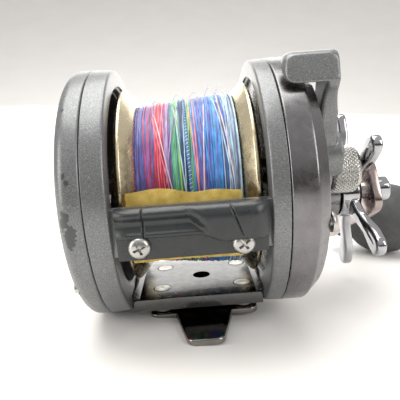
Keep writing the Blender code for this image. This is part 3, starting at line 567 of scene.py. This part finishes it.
def foot_rivets():
    """Rivets with a spacing collar between the foot and the bridge, their heads just under flush."""
    base = low("foot_rivet_1").z
    shank, collar, head_low = 1.3, 2.5, BRIDGE_TOP - 0.45
    profile = [(base, 0.0), (base, shank), (2.35, shank), (2.35, collar), (5.0, collar), (5.0, shank),
               (head_low, shank), (head_low, collar), (BRIDGE_TOP - 0.05, collar), (BRIDGE_TOP, 2.3),
               (BRIDGE_TOP, 0.0)]
    for number, (x, y) in enumerate(rivet_spots(), 1):
        bm = spin(bmesh.new(), fillet(profile, 0.12, 3), (0.0, 0.0))
        bmesh.ops.rotate(bm, verts=bm.verts, matrix=Matrix.Rotation(-math.pi / 2, 3, "Y"))
        bmesh.ops.translate(bm, verts=bm.verts, vec=(x, y, 0.0))
        piece(f"rivet_{number}", bm, RIVET, "root", (f"foot_rivet_{number}",))


def reel_foot():
    """Stamped plate: a long tapering blade along the rod, and two ears that take the rivets."""
    tip, thick = high("reel_foot").y, high("reel_foot").z
    blade_tip, blade_root, ear = 4.7, 9.2, 12.2
    blade = [(-blade_tip, -tip), (blade_tip, -tip), (blade_root, -9.0), (blade_root, 9.0),
             (blade_tip, tip), (-blade_tip, tip), (-blade_root, 9.0), (-blade_root, -9.0)]
    ears = rectangle(low("reel_foot").x, high("reel_foot").x, -ear, ear)
    bm = bmesh.new()
    slab(bm, fillet(blade, 2.2, 6), 0.0, thick, along_z, 0.55, 4)
    slab(bm, fillet(ears, 3.4, 6), 0.0, thick, along_z, 0.45, 4)
    piece("foot_plate", bm, FOOT_CHROME, "root", ("reel_foot",))


def left_cover():
    """Shallow domed cap with a stepped face, a rolled rim and a slot for the button."""
    face, spigot, seam = low("left_cover").x, high("left_cover").x, LEFT_SEAM - 0.05
    outer = [(seam, PLATE_R - 0.35), (seam - 0.35, PLATE_R), (-30.2, PLATE_R), (-31.8, 34.6), (-33.2, 30.6),
             (-33.6, 26.0), (-33.2, 25.2), (-33.3, 24.2), (face, 23.4), (face, 0.0)]
    inner = [(-32.0, 0.0), (-31.4, 29.9), (spigot, 29.9), (spigot, 31.3), (seam, 31.3)]
    radii = [0.1, 0.3, 1.4, 1.6, 1.6, 0.6, 0.4, 0.4, 0.7, 0.0] + [0.0, 0.3, 0.2, 0.2, 0.2]
    shell = turned("left_cover_shell", fillet(outer + inner, radii, 5), PLATE_AXIS, PAINT_CHIPPED, "root",
                   ("left_cover",), FINE_STEPS)
    y, z = axis_of("click_button")
    slot = fillet(rectangle(y - 4.8, y + 1.6, z - 1.5, z + 1.5), 1.4, 5)
    screws = [axis_of(f"left_cover_screw_{number}") for number in range(1, 4)]
    carve(shell, cutting_tool(slot, -36.5, -30.0, along_x, 0.02),
          *[cylinder(-40.0, -30.8, 2.0, spot) for spot in screws])


def click_button():
    """Ribbed slider with a stem that reaches in through the cover's slot."""
    y, z = axis_of("click_button")
    start = low("click_button").x
    outline = fillet(rectangle(y - 2.6, y + 2.6, z - 3.2, z + 3.2), 0.9, 5)
    bm = slab(bmesh.new(), outline, start, start + 1.6, along_x, 0.4)
    for k in range(-2, 3):
        rib = rectangle(y + k * 0.9 - 0.2, y + k * 0.9 + 0.2, z - 2.4, z + 2.4)
        slab(bm, fillet(rib, 0.15, 2), start + 0.05, start + 0.6, along_x, 0.08, 2)
    slab(bm, arc((y, z), 1.2, 0, 360, 24)[:-1], start + 1.0, high("click_button").x, along_x, 0.1, 1)
    piece("click_button_cap", bm, DARK_PLASTIC, "clicker", ("click_button",))


def right_cover():
    """Polished gear case with bosses for the lever, the spool end and the drive shaft."""
    seam = RIGHT_SEAM + 0.05
    outer = [(seam, PLATE_R - 0.3), (seam + 0.3, PLATE_R), (28.3, PLATE_R), (29.8, 34.5), (31.9, 32.6),
             (32.2, 28.0), (33.2, 25.4), (33.2, 0.0)]
    inner = [(31.7, 0.0), (31.7, 24.2), (30.2, 33.0), (seam, 33.0)]
    radii = [0.1, 0.2, 0.5, 0.4, 0.5, 0.9, 0.7, 0.0, 0.0, 0.3, 0.3, 0.1]
    shell = turned("right_cover_shell", fillet(outer + inner, radii, 5), PLATE_AXIS, CASE, "root",
                   ("right_cover",), FINE_STEPS)
    bores = ((5.25, SPOOL_AXIS), (7.6, DRIVE_AXIS), (2.8, LEVER_AXIS))
    carve(shell, *[cylinder(29.0, 36.0, radius, axis) for radius, axis in bores])
    spool_boss = [(32.4, 5.3), (32.4, 7.6), (33.4, 6.8), (40.9, 6.8), (40.9, 5.5), (47.6, 5.5), (47.6, 2.9),
                  (39.6, 2.9), (39.6, 5.3)]
    drive_boss = [(32.6, 7.65), (32.6, 11.2), (36.0, 9.0), (46.9, 8.7), (47.3, 8.3), (47.3, 5.6), (45.5, 5.6),
                  (45.5, 7.65)]
    lever_boss = [(32.5, 2.85), (32.5, 6.2), (33.7, 6.2), (33.7, 2.85)]
    for name, profile, radii, axis in (
            ("case_spool_boss", spool_boss, [0, 0, 0.9, 0.3, 0.2, 0.3, 0.1, 0, 0], SPOOL_AXIS),
            ("case_drive_boss", drive_boss, [0, 0.2, 1.2, 0.2, 0.2, 0.1, 0, 0], DRIVE_AXIS),
            ("case_lever_boss", lever_boss, [0, 0, 0.3, 0.1], LEVER_AXIS)):
        turned(name, fillet(profile, radii, 4), axis, CASE, "root", ("right_cover",))


# --- Screws ---
def pan_screw(name, node, facing):
    """Cross-recessed pan screw. facing is the way its head points."""
    start, end = low(node), high(node)
    middle = (start + end) / 2
    radius, height = 2.7, 1.7
    length = (end - start)[0 if facing == "+X" else 1]
    head = length - height
    profile = [(0.0, 0.0), (0.0, 1.1), (0.3, 1.3), (head, 1.3), (head, radius), (head + 0.5, radius),
               (head + 1.2, radius * 0.82), (head + 1.55, radius * 0.5), (length, 0.0)]
    bm = spin(bmesh.new(), fillet(profile, [0, 0, 0, 0, 0.15, 0.4, 0.5, 0.6, 0], 4), (0.0, 0.0), 40)
    made = piece(name, bm, SILVER, "root", (node,))
    wing, thin = 1.5, 0.31
    carve(made, *[cutting_tool(rectangle(-a, a, -b, b), head + 0.35, length + 1.0)
                  for a, b in ((thin, wing), (wing, thin))])
    turn = Matrix.Rotation(math.radians(23 if "left" in name else 38), 4, "X")
    if facing == "-Y":
        turn = Matrix.Rotation(-math.pi / 2, 4, "Z") @ turn
        seat = Vector((middle.x, end.y, middle.z))
    else:
        seat = Vector((start.x, middle.y, middle.z))
    made.data.transform(Matrix.Translation(seat * MM) @ turn)


def cover_screws():
    for side in ("left", "right"):
        pan_screw(f"thumb_screw_{side}", f"thumb_rest_screw_{side}", "-Y")
    for number in range(1, 5):
        pan_screw(f"case_screw_{number}", f"right_cover_screw_{number}", "+X")


# --- Thumb rest and tape ---
def ease(value, start, end):
    t = min(1.0, max(0.0, (value - start) / (end - start)))
    return t * t * (3 - 2 * t)


def smooth_curve(points, steps):
    """Catmull-Rom curve through the points."""
    result = []
    for i in range(len(points) - 1):
        a, b = points[max(0, i - 1)], points[i]
        c, d = points[i + 1], points[min(len(points) - 1, i + 2)]
        a, b, c, d = (Vector(point) for point in (a, b, c, d))
        for k in range(steps):
            t = k / steps
            curve = 2 * b + (c - a) * t + (2 * a - 5 * b + 4 * c - d) * t ** 2
            curve += (3 * b - a - 3 * c + d) * t ** 3
            result.append(tuple(curve / 2))
    return result + [tuple(points[-1])]


def thumb_rest():
    """Sculpted pad: a thin upper ridge on the left swings down into a full roll on the right."""
    start, end = low("thumb_rest").x, high("thumb_rest").x
    back, top = -33.8, 39.4
    thin = [(back, top), (-35.2, 39.2), (-36.2, 38.6), (-36.6, 37.8), (-36.1, 37.0), (-35.3, 36.2),
            (-35.1, 35.0), (-35.6, 33.9), (-36.2, 33.1), (-35.9, 32.4), (-35.2, 32.1)]
    full = [(back, top), (-35.8, 39.3), (-37.1, 38.8), (-37.8, 37.8), (-38.1, 36.6), (-38.1, 35.2),
            (-38.0, 33.8), (-37.8, 32.3), (-37.4, 31.3), (-36.7, 30.6), (-35.2, 30.4)]
    face = [(-34.95, 28.6), (-34.8, 27.4), (-34.4, 26.75), (back, 26.7), (back, 33.0)]
    end_round, groove_deep, groove_half, groove_foot = 3.6, 0.4, 0.33, 31.8
    columns = 240
    bm = bmesh.new()
    rings = []
    for i in range(columns + 1):
        x = start + (end - start) * i / columns
        pull = 1.0 - 0.45 * (1 - min(1.0, min(x - start, end - x) / end_round)) ** 2
        roll = []
        for a, b in zip(thin, full):
            share = ease(x, -4.0 + (top - a[1]) * 0.55, -0.5 + (top - a[1]) * 0.9)
            roll.append((a[0] + (b[0] - a[0]) * share, a[1] + (b[1] - a[1]) * share))
        ring = []
        for y, z in smooth_curve(roll, 5) + face:
            depth = (y - back) * pull
            if z > groove_foot:
                for groove in (-12.6, 7.8 + (39.0 - z) * 0.33):
                    depth += groove_deep * max(0.0, 1 - abs(x - groove) / groove_half)
            ring.append(bm.verts.new((x, back + min(0.0, depth), z)))
        rings.append(ring)
    for first, second in zip(rings, rings[1:]):
        bridge(bm, first, second)
    bm.faces.new(rings[0][::-1])
    bm.faces.new(rings[-1])
    piece("thumb_rest_pad", bm, PLASTIC, "root", ("thumb_rest",), 50)


def tape_strip():
    """Strip of paper tape: wavy where it was torn along, toothed where it was cut off."""
    start, end = low("tape_strip").x, high("tape_strip").x
    columns, rows = 150, 46
    bm = bmesh.new()
    grid = []
    for i in range(columns + 1):
        u = i / columns
        x = start + (end - start) * u
        top = 172.2 + 0.9 * u - 1.5 * math.sin(math.pi * min(1.0, u / 0.55)) ** 2 + 1.1 * ease(u, 0.4, 0.62)
        top -= 0.9 * math.sin(math.pi * ease(u, 0.55, 1.0))
        torn = 0.8 * noise.noise(Vector((x * 1.9, 8.0, 0.0))) * ease(0.3 - abs(u - 0.45), 0.0, 0.08)
        bottom = 208.6 + 0.9 * abs(u - 0.45) * 2 + torn
        grid.append([])
        for j in range(rows + 1):
            v = j / rows
            angle = math.radians(top + (bottom - top) * v)
            tooth = 0.35 * abs((v * 9) % 1.0 - 0.5) * ((u > 0.99) - (u < 0.01))
            radius = 30.0 + 0.10 * noise.noise(Vector((x * 0.35, v * 7.0, 3.0)))
            y, z = PLATE_AXIS[0] + radius * math.cos(angle), PLATE_AXIS[1] + radius * math.sin(angle)
            grid[-1].append(bm.verts.new((x - tooth, y, z)))
    for first, second in zip(grid, grid[1:]):
        for j in range(rows):
            bm.faces.new((first[j], first[j + 1], second[j + 1], second[j]))
    area = sum(f.calc_area() for f in bm.faces)
    made = piece("paper_tape", bm, TAPE, "root", ("tape_strip",), 180)


# --- Spool and line ---
def spool():
    """Spool with bevelled flanges and a hollow in each end. half is one end's outline, from its middle."""
    half = [(13.2, 14.0), (13.5, 24.6), (14.6, 26.0), (16.7, FLANGE_R), (17.4, FLANGE_R), (18.1, 27.4),
            (18.1, 24.0), (16.0, 22.0), (16.0, 7.0), (18.1, 6.0), (18.1, 2.8)]
    radii = [0, 0.4, 0.3, 0.25, 0.2, 0.25, 0.4, 0.8, 0.8, 0.3, 0.2]
    profile = [(SPOOL_MID_X + x, r) for x, r in half]
    profile += [(SPOOL_MID_X - x, r) for x, r in reversed(half)]
    turned("spool_body", fillet(profile, radii + radii[::-1], 4), SPOOL_AXIS, GOLD, "spool", ("spool",),
           FINE_STEPS)


def pack_radius(x):
    """Outside of the wound line, fuller towards the handle."""
    start, end = low("line_pack").x, high("line_pack").x
    t = min(1.0, max(0.0, (x - start) / (end - start)))
    return 23.2 + 2.1 * (1 - (1 - t) ** 1.5)


# Colours of the line from left to right: each band's end, as a share of the width, and its strands.
BANDS = [(0.05, ["plum", "violet"]), (0.10, ["violet", "mist"]),
         (0.29, ["red", "crimson", "rose", "red", "violet"]), (0.35, ["lavender", "plum", "pale"]),
         (0.45, ["teal", "green", "lime", "green", "ice"]), (0.53, ["navy", "ice", "navy"]),
         (0.57, ["sky", "lime", "green"]), (0.66, ["salmon", "violet", "royal", "green"]),
         (0.84, ["royal", "sky", "royal", "sky", "violet"]), (1.01, ["mist", "ice", "slate", "royal"])]


def band_colour(share, pick):
    return pick.choice(next(names for limit, names in BANDS if share < limit))


def on_pack(x, degrees, lift):
    """A point lift above the wound line, at an angle round it."""
    turn = math.radians(degrees)
    radius = pack_radius(x) + lift
    return (x, SPOOL_AXIS[0] + radius * math.cos(turn), SPOOL_AXIS[1] + radius * math.sin(turn))


def line_winding():
    """Turns laid side by side, then looser ones that wander across them, over a plain core."""
    pick = random.Random(7)
    names = list(LINE)
    start, end = low("line_pack").x - 0.45, high("line_pack").x + 0.45
    thick, loose_turns, core_drop = 0.19, 46, 0.42
    round_pack = range(0, 360, 4)
    bm = bmesh.new()

    def wandering(x, sway, phase, a):
        return min(end, max(start, x + sway * math.sin(math.radians(a + phase))))

    turns = int((end - start) / (thick * 1.9))
    for i in range(turns + 1):
        share = i / turns
        name = band_colour(share, pick)
        x = start + (end - start) * share
        sway, phase, lift = pick.uniform(0.02, 0.14), pick.uniform(0, 360), pick.uniform(-0.32, -0.16)
        path = [on_pack(wandering(x, sway, phase, a), a, lift) for a in round_pack]
        sweep(bm, path, thick, True, 6, names.index(name))
    for i in range(loose_turns):
        share = pick.random()
        name = band_colour(min(0.999, max(0.0, share + pick.uniform(-0.04, 0.04))), pick)
        x = start + (end - start) * share
        sway, phase = pick.uniform(0.3, 1.5), pick.uniform(0, 360)
        path = [on_pack(wandering(x, sway, phase, a), a, -0.06 + 0.05 * math.sin(math.radians(3 * a + phase)))
                for a in round_pack]
        sweep(bm, path, thick * 0.95, True, 6, names.index(name))
    piece("line_winding", bm, list(LINE.values()), "spool", ("line_pack",), 60)
    along = [start - 0.1] + [start + (end - start) * i / 12 for i in range(13)] + [end + 0.1]
    core = [(x, pack_radius(x) - core_drop) for x in along]
    core = [(along[0], 14.3)] + core + [(along[-1], 14.3)]
    turned("line_core", core, SPOOL_AXIS, LINE["slate"], "spool", (), FINE_STEPS)


def crossing_strands():
    """Single strands that run slantwise over the pack, the twisted leader, and clear loops on top."""
    names = list(LINE)
    bm = bmesh.new()
    # Colour, x from and to, and the angles between which each strand crosses.
    runs = [("rose", -10.5, -4.2, 120, 205), ("pale", -9.8, -3.4, 118, 208),
            ("lavender", -3.2, -7.4, 112, 178), ("ice", -4.4, -2.0, 110, 186),
            ("pale", 4.2, 1.6, 112, 206), ("violet", 5.4, 2.4, 120, 206), ("ice", 6.2, 9.8, 104, 178),
            ("pale", 7.4, 10.8, 108, 190), ("mist", 8.8, 11.0, 110, 205), ("sky", 2.4, 4.6, 110, 180)]
    for name, x_from, x_to, turn_from, turn_to in runs:
        path = []
        for t in (i / 40 for i in range(41)):
            lift = 0.16 - 0.55 * (2 * abs(t - 0.5)) ** 6
            path.append(on_pack(x_from + (x_to - x_from) * t, turn_from + (turn_to - turn_from) * t, lift))
        sweep(bm, path, 0.17, False, 8, names.index(name))
    for strand, name in enumerate(("navy", "ice", "navy", "sky")):
        path = []
        for i in range(361):
            twist = math.radians(i * 42 + strand * 90)
            x = -1.6 + 1.1 * i / 360 + 0.26 * math.cos(twist)
            path.append(on_pack(x, 104 + 100 * i / 360, 0.22 + 0.24 * math.sin(twist)))
        sweep(bm, path, 0.21, False, 6, names.index(name))
    piece("crossing_strands", bm, list(LINE.values()), "spool", (), 60)
    bm = bmesh.new()
    # Each loop's x, width, height and y.
    loops = [(-9.6, 2.4, 1.1, -2.0), (-3.0, 3.6, 1.9, -1.0), (1.8, 3.4, 1.9, 0.5), (6.4, 3.2, 2.6, -1.5),
             (9.4, 2.6, 3.2, 1.0)]
    for x, width, tall, y in loops:
        path = []
        for t in (i / 32 for i in range(33)):
            angle = 90 - math.degrees(y / 25) + 6 * (t - 0.5)
            base = Vector(on_pack(x + width * (t - 0.5), angle, -0.3))
            path.append(base + Vector((0.0, 0.0, tall * math.sin(math.pi * t))))
        sweep(bm, path, 0.13, False, 8)
    piece("nylon_loops", bm, NYLON, "spool", (), 60)


# --- Controls ---
def clutch_lever():
    """Hub, arm and thumb tab in one casting. The tab is deep at the top and thin at its lower edge."""
    face_low, face_high = Vector((-26.5, 64.3)), Vector((-25.15, 72.25))
    back_low, back_high = Vector((-24.2, 65.7)), Vector((-17.6, 73.1))
    tall, deep = (face_high - face_low).length, 2.9
    arm_in, arm_out, top_out = 33.7, 38.5, 36.9

    def on_tab(x, s, depth):
        outer = face_low.lerp(face_high, s / tall)
        point = outer.lerp(back_low.lerp(back_high, s / tall), depth / deep)
        return (x, point.x, point.y)

    def on_arm(y, z, x):
        rise = min(max((z - 57.0) / 7.0, 0.0), 1.0)
        limit = arm_out + (top_out - arm_out) * rise
        return (arm_in + (x - arm_in) * (limit - arm_in) / (arm_out - arm_in), y, z)

    side_view = [(-17.7, 46.0), (-19.2, 57.0), (-22.6, 62.0), (-26.5, 64.3), (-25.15, 72.25), (-17.6, 73.1),
                 (-15.9, 67.5), (-11.1, 57.5), (-6.7, 47.5), (-12.0, 43.2)]
    bends = [1.0, 6.0, 5.0, 3.0, 3.0, 1.2, 8.0, 8.0, 1.0, 1.0]
    bm = bmesh.new()
    front = rectangle(23.2, top_out, 0.0, tall)
    slab(bm, fillet(front, [3.4, 0.3, 2.6, 3.4], 8), 0.0, deep, on_tab, 1.2, 6)
    slab(bm, fillet(side_view, bends, 6), arm_in, arm_out, on_arm, 0.9, 4)
    hub = [(34.0, 0.0), (34.0, 6.5), (40.3, 6.5), (40.3, 0.0)]
    spin(bm, fillet(hub, [0, 0.3, 0.6, 0], 5), LEVER_AXIS, 72)
    made = piece("lever_casting", bm, PAINT_LEVER, "lever", ("clutch_lever",))
    fuse(made, 0.26, 5)


def cast_cap():
    """Silver cap with a diamond knurl between two plain rims."""
    start, end = low("cast_control_cap").x, high("cast_control_cap").x
    radius = radius_of("cast_control_cap")
    steps, teeth, rows, pitch, deep = 288, 36, 56, 1.25, 0.34
    knurl_from, knurl_to = start + 0.8, end - 1.6
    profile = [(start, 5.8), (start, 6.6), (start + 0.5, 7.0)]
    profile += [(knurl_from + (knurl_to - knurl_from) * i / rows, radius - 0.1) for i in range(rows + 1)]
    profile += [(end - 1.2, 7.0), (end - 0.5, 6.5), (end - 0.1, 5.4), (end, 4.0), (end, 0.0),
                (end - 1.5, 0.0), (end - 1.5, 5.8)]
    bm = spin(bmesh.new(), profile, SPOOL_AXIS, steps)
    for vertex in bm.verts:
        out = Vector((vertex.co.y - SPOOL_AXIS[0], vertex.co.z - SPOOL_AXIS[1]))
        if out.length < radius - 0.3 or not knurl_from - 0.01 < vertex.co.x < knurl_to + 0.01:
            continue
        turn = math.atan2(out.y, out.x) * teeth / (2 * math.pi)
        climb = (vertex.co.x - knurl_from) / pitch
        grooves = [1 - 3.0 * abs(way % 1.0 - 0.5) for way in (turn + climb, turn - climb)]
        out *= (out.length + 0.1 - deep * max(*grooves, 0.0)) / out.length
        vertex.co.y, vertex.co.z = SPOOL_AXIS[0] + out.x, SPOOL_AXIS[1] + out.y
    piece("cast_cap_knurled", bm, SILVER, "cast_cap", ("cast_control_cap",))


def along_arm(along, across, heading):
    """A point beside the drive axis, given along and across an arm that points at heading."""
    return (DRIVE_AXIS[0] + along * math.cos(heading) - across * math.sin(heading),
            DRIVE_AXIS[1] + along * math.sin(heading) + across * math.cos(heading))


def star_drag():
    """Five-armed star, its arms cranked outward to flat paddles."""
    hub_low, hub_high = low("star_drag").x, 54.6
    first_arm, root, tip, crank_out = -6.0, 6.4, 25.4, 1.5
    bm = bmesh.new()
    profile = [(hub_low, 3.7), (hub_low, 8.3), (hub_low + 0.4, 8.5), (hub_high - 1.2, 8.5), (hub_high, 7.4),
               (hub_high, 3.7)]
    spin(bm, fillet(profile, 0.4, 4), DRIVE_AXIS, 96)

    def cranked(a, b, c):
        out = math.hypot(a - DRIVE_AXIS[0], b - DRIVE_AXIS[1])
        return (c + crank_out * ease(out, 9.0, 21.0), a, b)

    for i in range(5):
        heading = math.radians(first_arm + 72 * i)
        plain = capsule(along_arm(root, 0.0, heading), along_arm(tip, 0.0, heading), 3.0, 3.15, 16)
        waisted = []
        for a, b in zip(plain, plain[1:] + plain[:1]):
            parts = max(1, int(math.dist(a, b) / 0.8))
            for k in range(parts):
                y, z = (a[n] + (b[n] - a[n]) * k / parts - DRIVE_AXIS[n] for n in (0, 1))
                along = y * math.cos(heading) + z * math.sin(heading)
                across = -y * math.sin(heading) + z * math.cos(heading)
                narrow = 1 - 0.30 * ease(along, 8.0, 14.0) * (1 - ease(along, 16.0, 22.5))
                waisted.append(along_arm(along, across * narrow, heading))
        slab(bm, waisted, 50.4, 53.6, cranked, 0.9, 4)
    made = piece("star_casting", bm, CHROME, "star", ("star_drag",))
    fuse(made, 0.26, 4)


def handle():
    """Flat crank plate and its rounded nut."""
    start, end = low("handle_arm").x, high("handle_arm").x
    heading = math.atan2(KNOB_AXIS[1] - DRIVE_AXIS[1], KNOB_AXIS[0] - DRIVE_AXIS[0])
    length = math.dist(KNOB_AXIS, DRIVE_AXIS)
    plan = [(-8.6, -9.2), (6.0, -9.2), (length * 0.55, -7.0)] + arc((length, 0.0), 6.6, -80, 80, 14)
    plan += [(length * 0.55, 7.0), (6.0, 9.2), (-8.6, 9.2)]
    plan = fillet(plan, [5.5, 4.0, 5.0] + [0.0] * 15 + [5.0, 4.0, 5.5], 8)
    outline = [along_arm(a, b, heading) for a, b in plan]
    bm = slab(bmesh.new(), outline, start, end, along_x, 0.5, 4)
    piece("crank_plate", bm, ARM_METAL, "crank", ("handle_arm",))
    hexagon = arc(DRIVE_AXIS, 4.9, 30, 390, 6)[:-1]
    start, end = low("handle_nut").x, high("handle_nut").x
    bm = slab(bmesh.new(), fillet(hexagon, 1.8, 6), start, end, along_x, 1.1, 5)
    piece("crank_nut", bm, CHROME, "crank", ("handle_nut",))


def knob():
    """Round rubber knob on a short neck, and its slotted end cap."""
    start, end = low("knob").x, high("knob").x
    middle, half = 82.7, 15.6
    turns = [math.radians(i) for i in range(28, 153)]
    outer = [(middle - half * math.cos(turn), KNOB_R * math.sin(turn) ** 0.8) for turn in turns]
    profile = [(start, 3.6), (start, 6.2), (start + 0.6, 6.6), (start + 2.4, 6.6)] + outer
    profile += [(end - 0.3, 5.4), (end, 5.0), (end - 2.0, 4.6), (end - 2.0, 3.6)]
    turned("knob_ball", profile, KNOB_AXIS, KNOB_SKIN, "knob", ("knob",), FINE_STEPS)
    cap_from, cap_to = low("knob_cap").x, high("knob_cap").x
    cap = fillet([(cap_from, 0.0), (cap_from, 4.3), (cap_to - 0.4, 4.3), (cap_to, 3.4), (cap_to, 0.0)],
                 [0, 0.2, 0.5, 0.4, 0], 5)
    made = turned("knob_end_cap", cap, KNOB_AXIS, SILVER, "knob", ("knob_cap",))
    slot = rectangle(KNOB_AXIS[0] - 3.2, KNOB_AXIS[0] + 3.2, KNOB_AXIS[1] - 0.4, KNOB_AXIS[1] + 0.4)
    carve(made, cutting_tool(slot, cap_to - 0.6, cap_to + 1.0))


# --- Kept CAD nodes ---
KEPT = [
    (STEEL, ["spool_shaft", "spool_pin", "left_bearing", "right_bearing", "spool_end_bearing", "click_pawl",
             "yoke", "yoke_post_1", "yoke_post_2", "yoke_spring_1", "yoke_spring_2", "clutch_cam",
             "metal_washer", "pressure_plate", "spring_washer", "drive_shaft", "drive_bush", "ratchet",
             "one_way_bearing", "bearing_sleeve", "anti_reverse_dog", "dog_post", "knob_post",
             "left_cover_screw_1", "left_cover_screw_2", "left_cover_screw_3"]),
    (BRASS, ["cast_control_pad", "click_gear", "pinion", "drive_gear", "knob_bush"]),
    (CARBON, ["drag_washer_1", "drag_washer_2"]),
    (BRIDGE, ["gear_plate"]),
]


def finish_kept_nodes():
    for material, names in KEPT:
        for name in names:
            mesh = frame["nodes"][name].data
            mesh.materials.clear()
            mesh.materials.append(material)


# --- Studio ---
def studio():
    """Pale sweep of paper, tilted to touch the reel's three lowest points and curving up behind it."""
    near, far, half_width, lift, steps = -700.0, 3000.0, 2600.0, 1500.0, 60
    tilt_x, tilt_y, drop = -0.072, -0.006, 0.2
    bm = bmesh.new()
    rows = []
    for i in range(steps + 1):
        y = near + (far - near) * i / steps
        rise = lift * ease(y, 250.0, far) - drop
        rows.append([bm.verts.new((x, y, tilt_x * x + tilt_y * y + rise)) for x in (-half_width, half_width)])
    for first, second in zip(rows, rows[1:]):
        bm.faces.new((first[0], first[1], second[1], second[0]))
    made, tree, shader = new_material("studio_paper", 0.55, 0.0)
    colour = ramp(tree, cloud(tree, 60.0, 2.0), [(0.3, rgb(241, 238, 235)), (0.7, rgb(244, 242, 239))])
    tree.links.new(colour, shader.inputs["Base Color"])
    floor = piece("studio_floor", bm, made, None)


def lights():
    def softbox(name, spot, size, power, colour):
        data = bpy.data.lights.new(name, "AREA")
        data.shape = "RECTANGLE"
        data.size, data.size_y = (side * MM for side in size)
        data.energy = power
        data.color = colour
        lamp = bpy.data.objects.new(name, data)
        bpy.context.scene.collection.objects.link(lamp)
        lamp.location = Vector(spot) * MM
        aim = Vector((0.0, 0.0, 35.0)) * MM - lamp.location
        lamp.rotation_euler = aim.to_track_quat("-Z", "Y").to_euler()

    softbox("overhead", (-60, 60, 620), (620, 520), 4.6, (1.0, 0.985, 0.96))
    softbox("left_fill", (-560, -260, 260), (320, 420), 1.6, (1.0, 0.99, 0.97))
    softbox("right_fill", (480, -360, 300), (260, 380), 1.4, (1.0, 0.99, 0.98))
    softbox("back_glow", (60, 560, 240), (700, 360), 1.8, (1.0, 0.99, 0.97))


def world():
    """Bright room with a dim patch at -Y for metal to mirror. The camera itself sees a pale wall."""
    scene_world = bpy.data.worlds.new("room")
    bpy.context.scene.world = scene_world
    scene_world.use_nodes = True
    tree = scene_world.node_tree
    back = tree.nodes["Background"]
    coordinates = tree.nodes.new("ShaderNodeTexCoord")
    split = tree.nodes.new("ShaderNodeSeparateXYZ")
    tree.links.new(coordinates.outputs["Generated"], split.inputs["Vector"])
    behind = level(tree, split.outputs["Y"], 1.0, 0.0, -0.85, -0.25)
    upper = level(tree, split.outputs["Z"], 1.0, 0.0, 0.05, 0.45)
    walls = [(0.0, (0.55, 0.54, 0.52, 1.0)), (0.35, (0.85, 0.84, 0.82, 1.0)), (0.9, (1.0, 0.99, 0.97, 1.0))]
    height = ramp(tree, split.outputs["Z"], walls)
    lit = blend(tree, maths(tree, "MULTIPLY", behind, upper), height, (0.13, 0.10, 0.10, 1.0))
    rays = tree.nodes.new("ShaderNodeLightPath")
    seen = blend(tree, rays.outputs["Is Camera Ray"], lit, (0.93, 0.92, 0.90, 1.0))
    tree.links.new(seen, back.inputs["Color"])
    back.inputs["Strength"].default_value = 0.78
    bpy.context.scene.view_settings.view_transform = "Standard"


def camera():
    """Camera at the angler's side, a little above the reel and rolled a few degrees."""
    yaw, pitch, roll = (math.radians(a) for a in (0.565, -11.078, 4.278))
    forward = Vector((math.sin(yaw) * math.cos(pitch), math.cos(yaw) * math.cos(pitch), math.sin(pitch)))
    right = Vector((math.cos(yaw), -math.sin(yaw), 0.0))
    down = forward.cross(right)
    across = right * math.cos(roll) + down * math.sin(roll)
    image_down = -right * math.sin(roll) + down * math.cos(roll)
    data = bpy.data.cameras.new("camera")
    data.lens, data.sensor_width = 38.12, 36.0
    data.clip_start = 0.005
    made = bpy.data.objects.new("camera", data)
    bpy.context.scene.collection.objects.link(made)
    turn = Matrix((across, -image_down, -forward)).transposed().to_4x4()
    eye = Vector((0.055, -129.69, 58.727)) * MM
    made.matrix_world = Matrix.Translation(eye) @ turn
    bpy.context.scene.camera = made


for make in (camera, studio, lights, world, frame_casting, bridge_plate, foot_rivets, reel_foot,
             left_cover, click_button, right_cover, cover_screws, thumb_rest, tape_strip, spool,
             line_winding, crossing_strands, clutch_lever, cast_cap, star_drag, handle, knob,
             finish_kept_nodes):
    make()
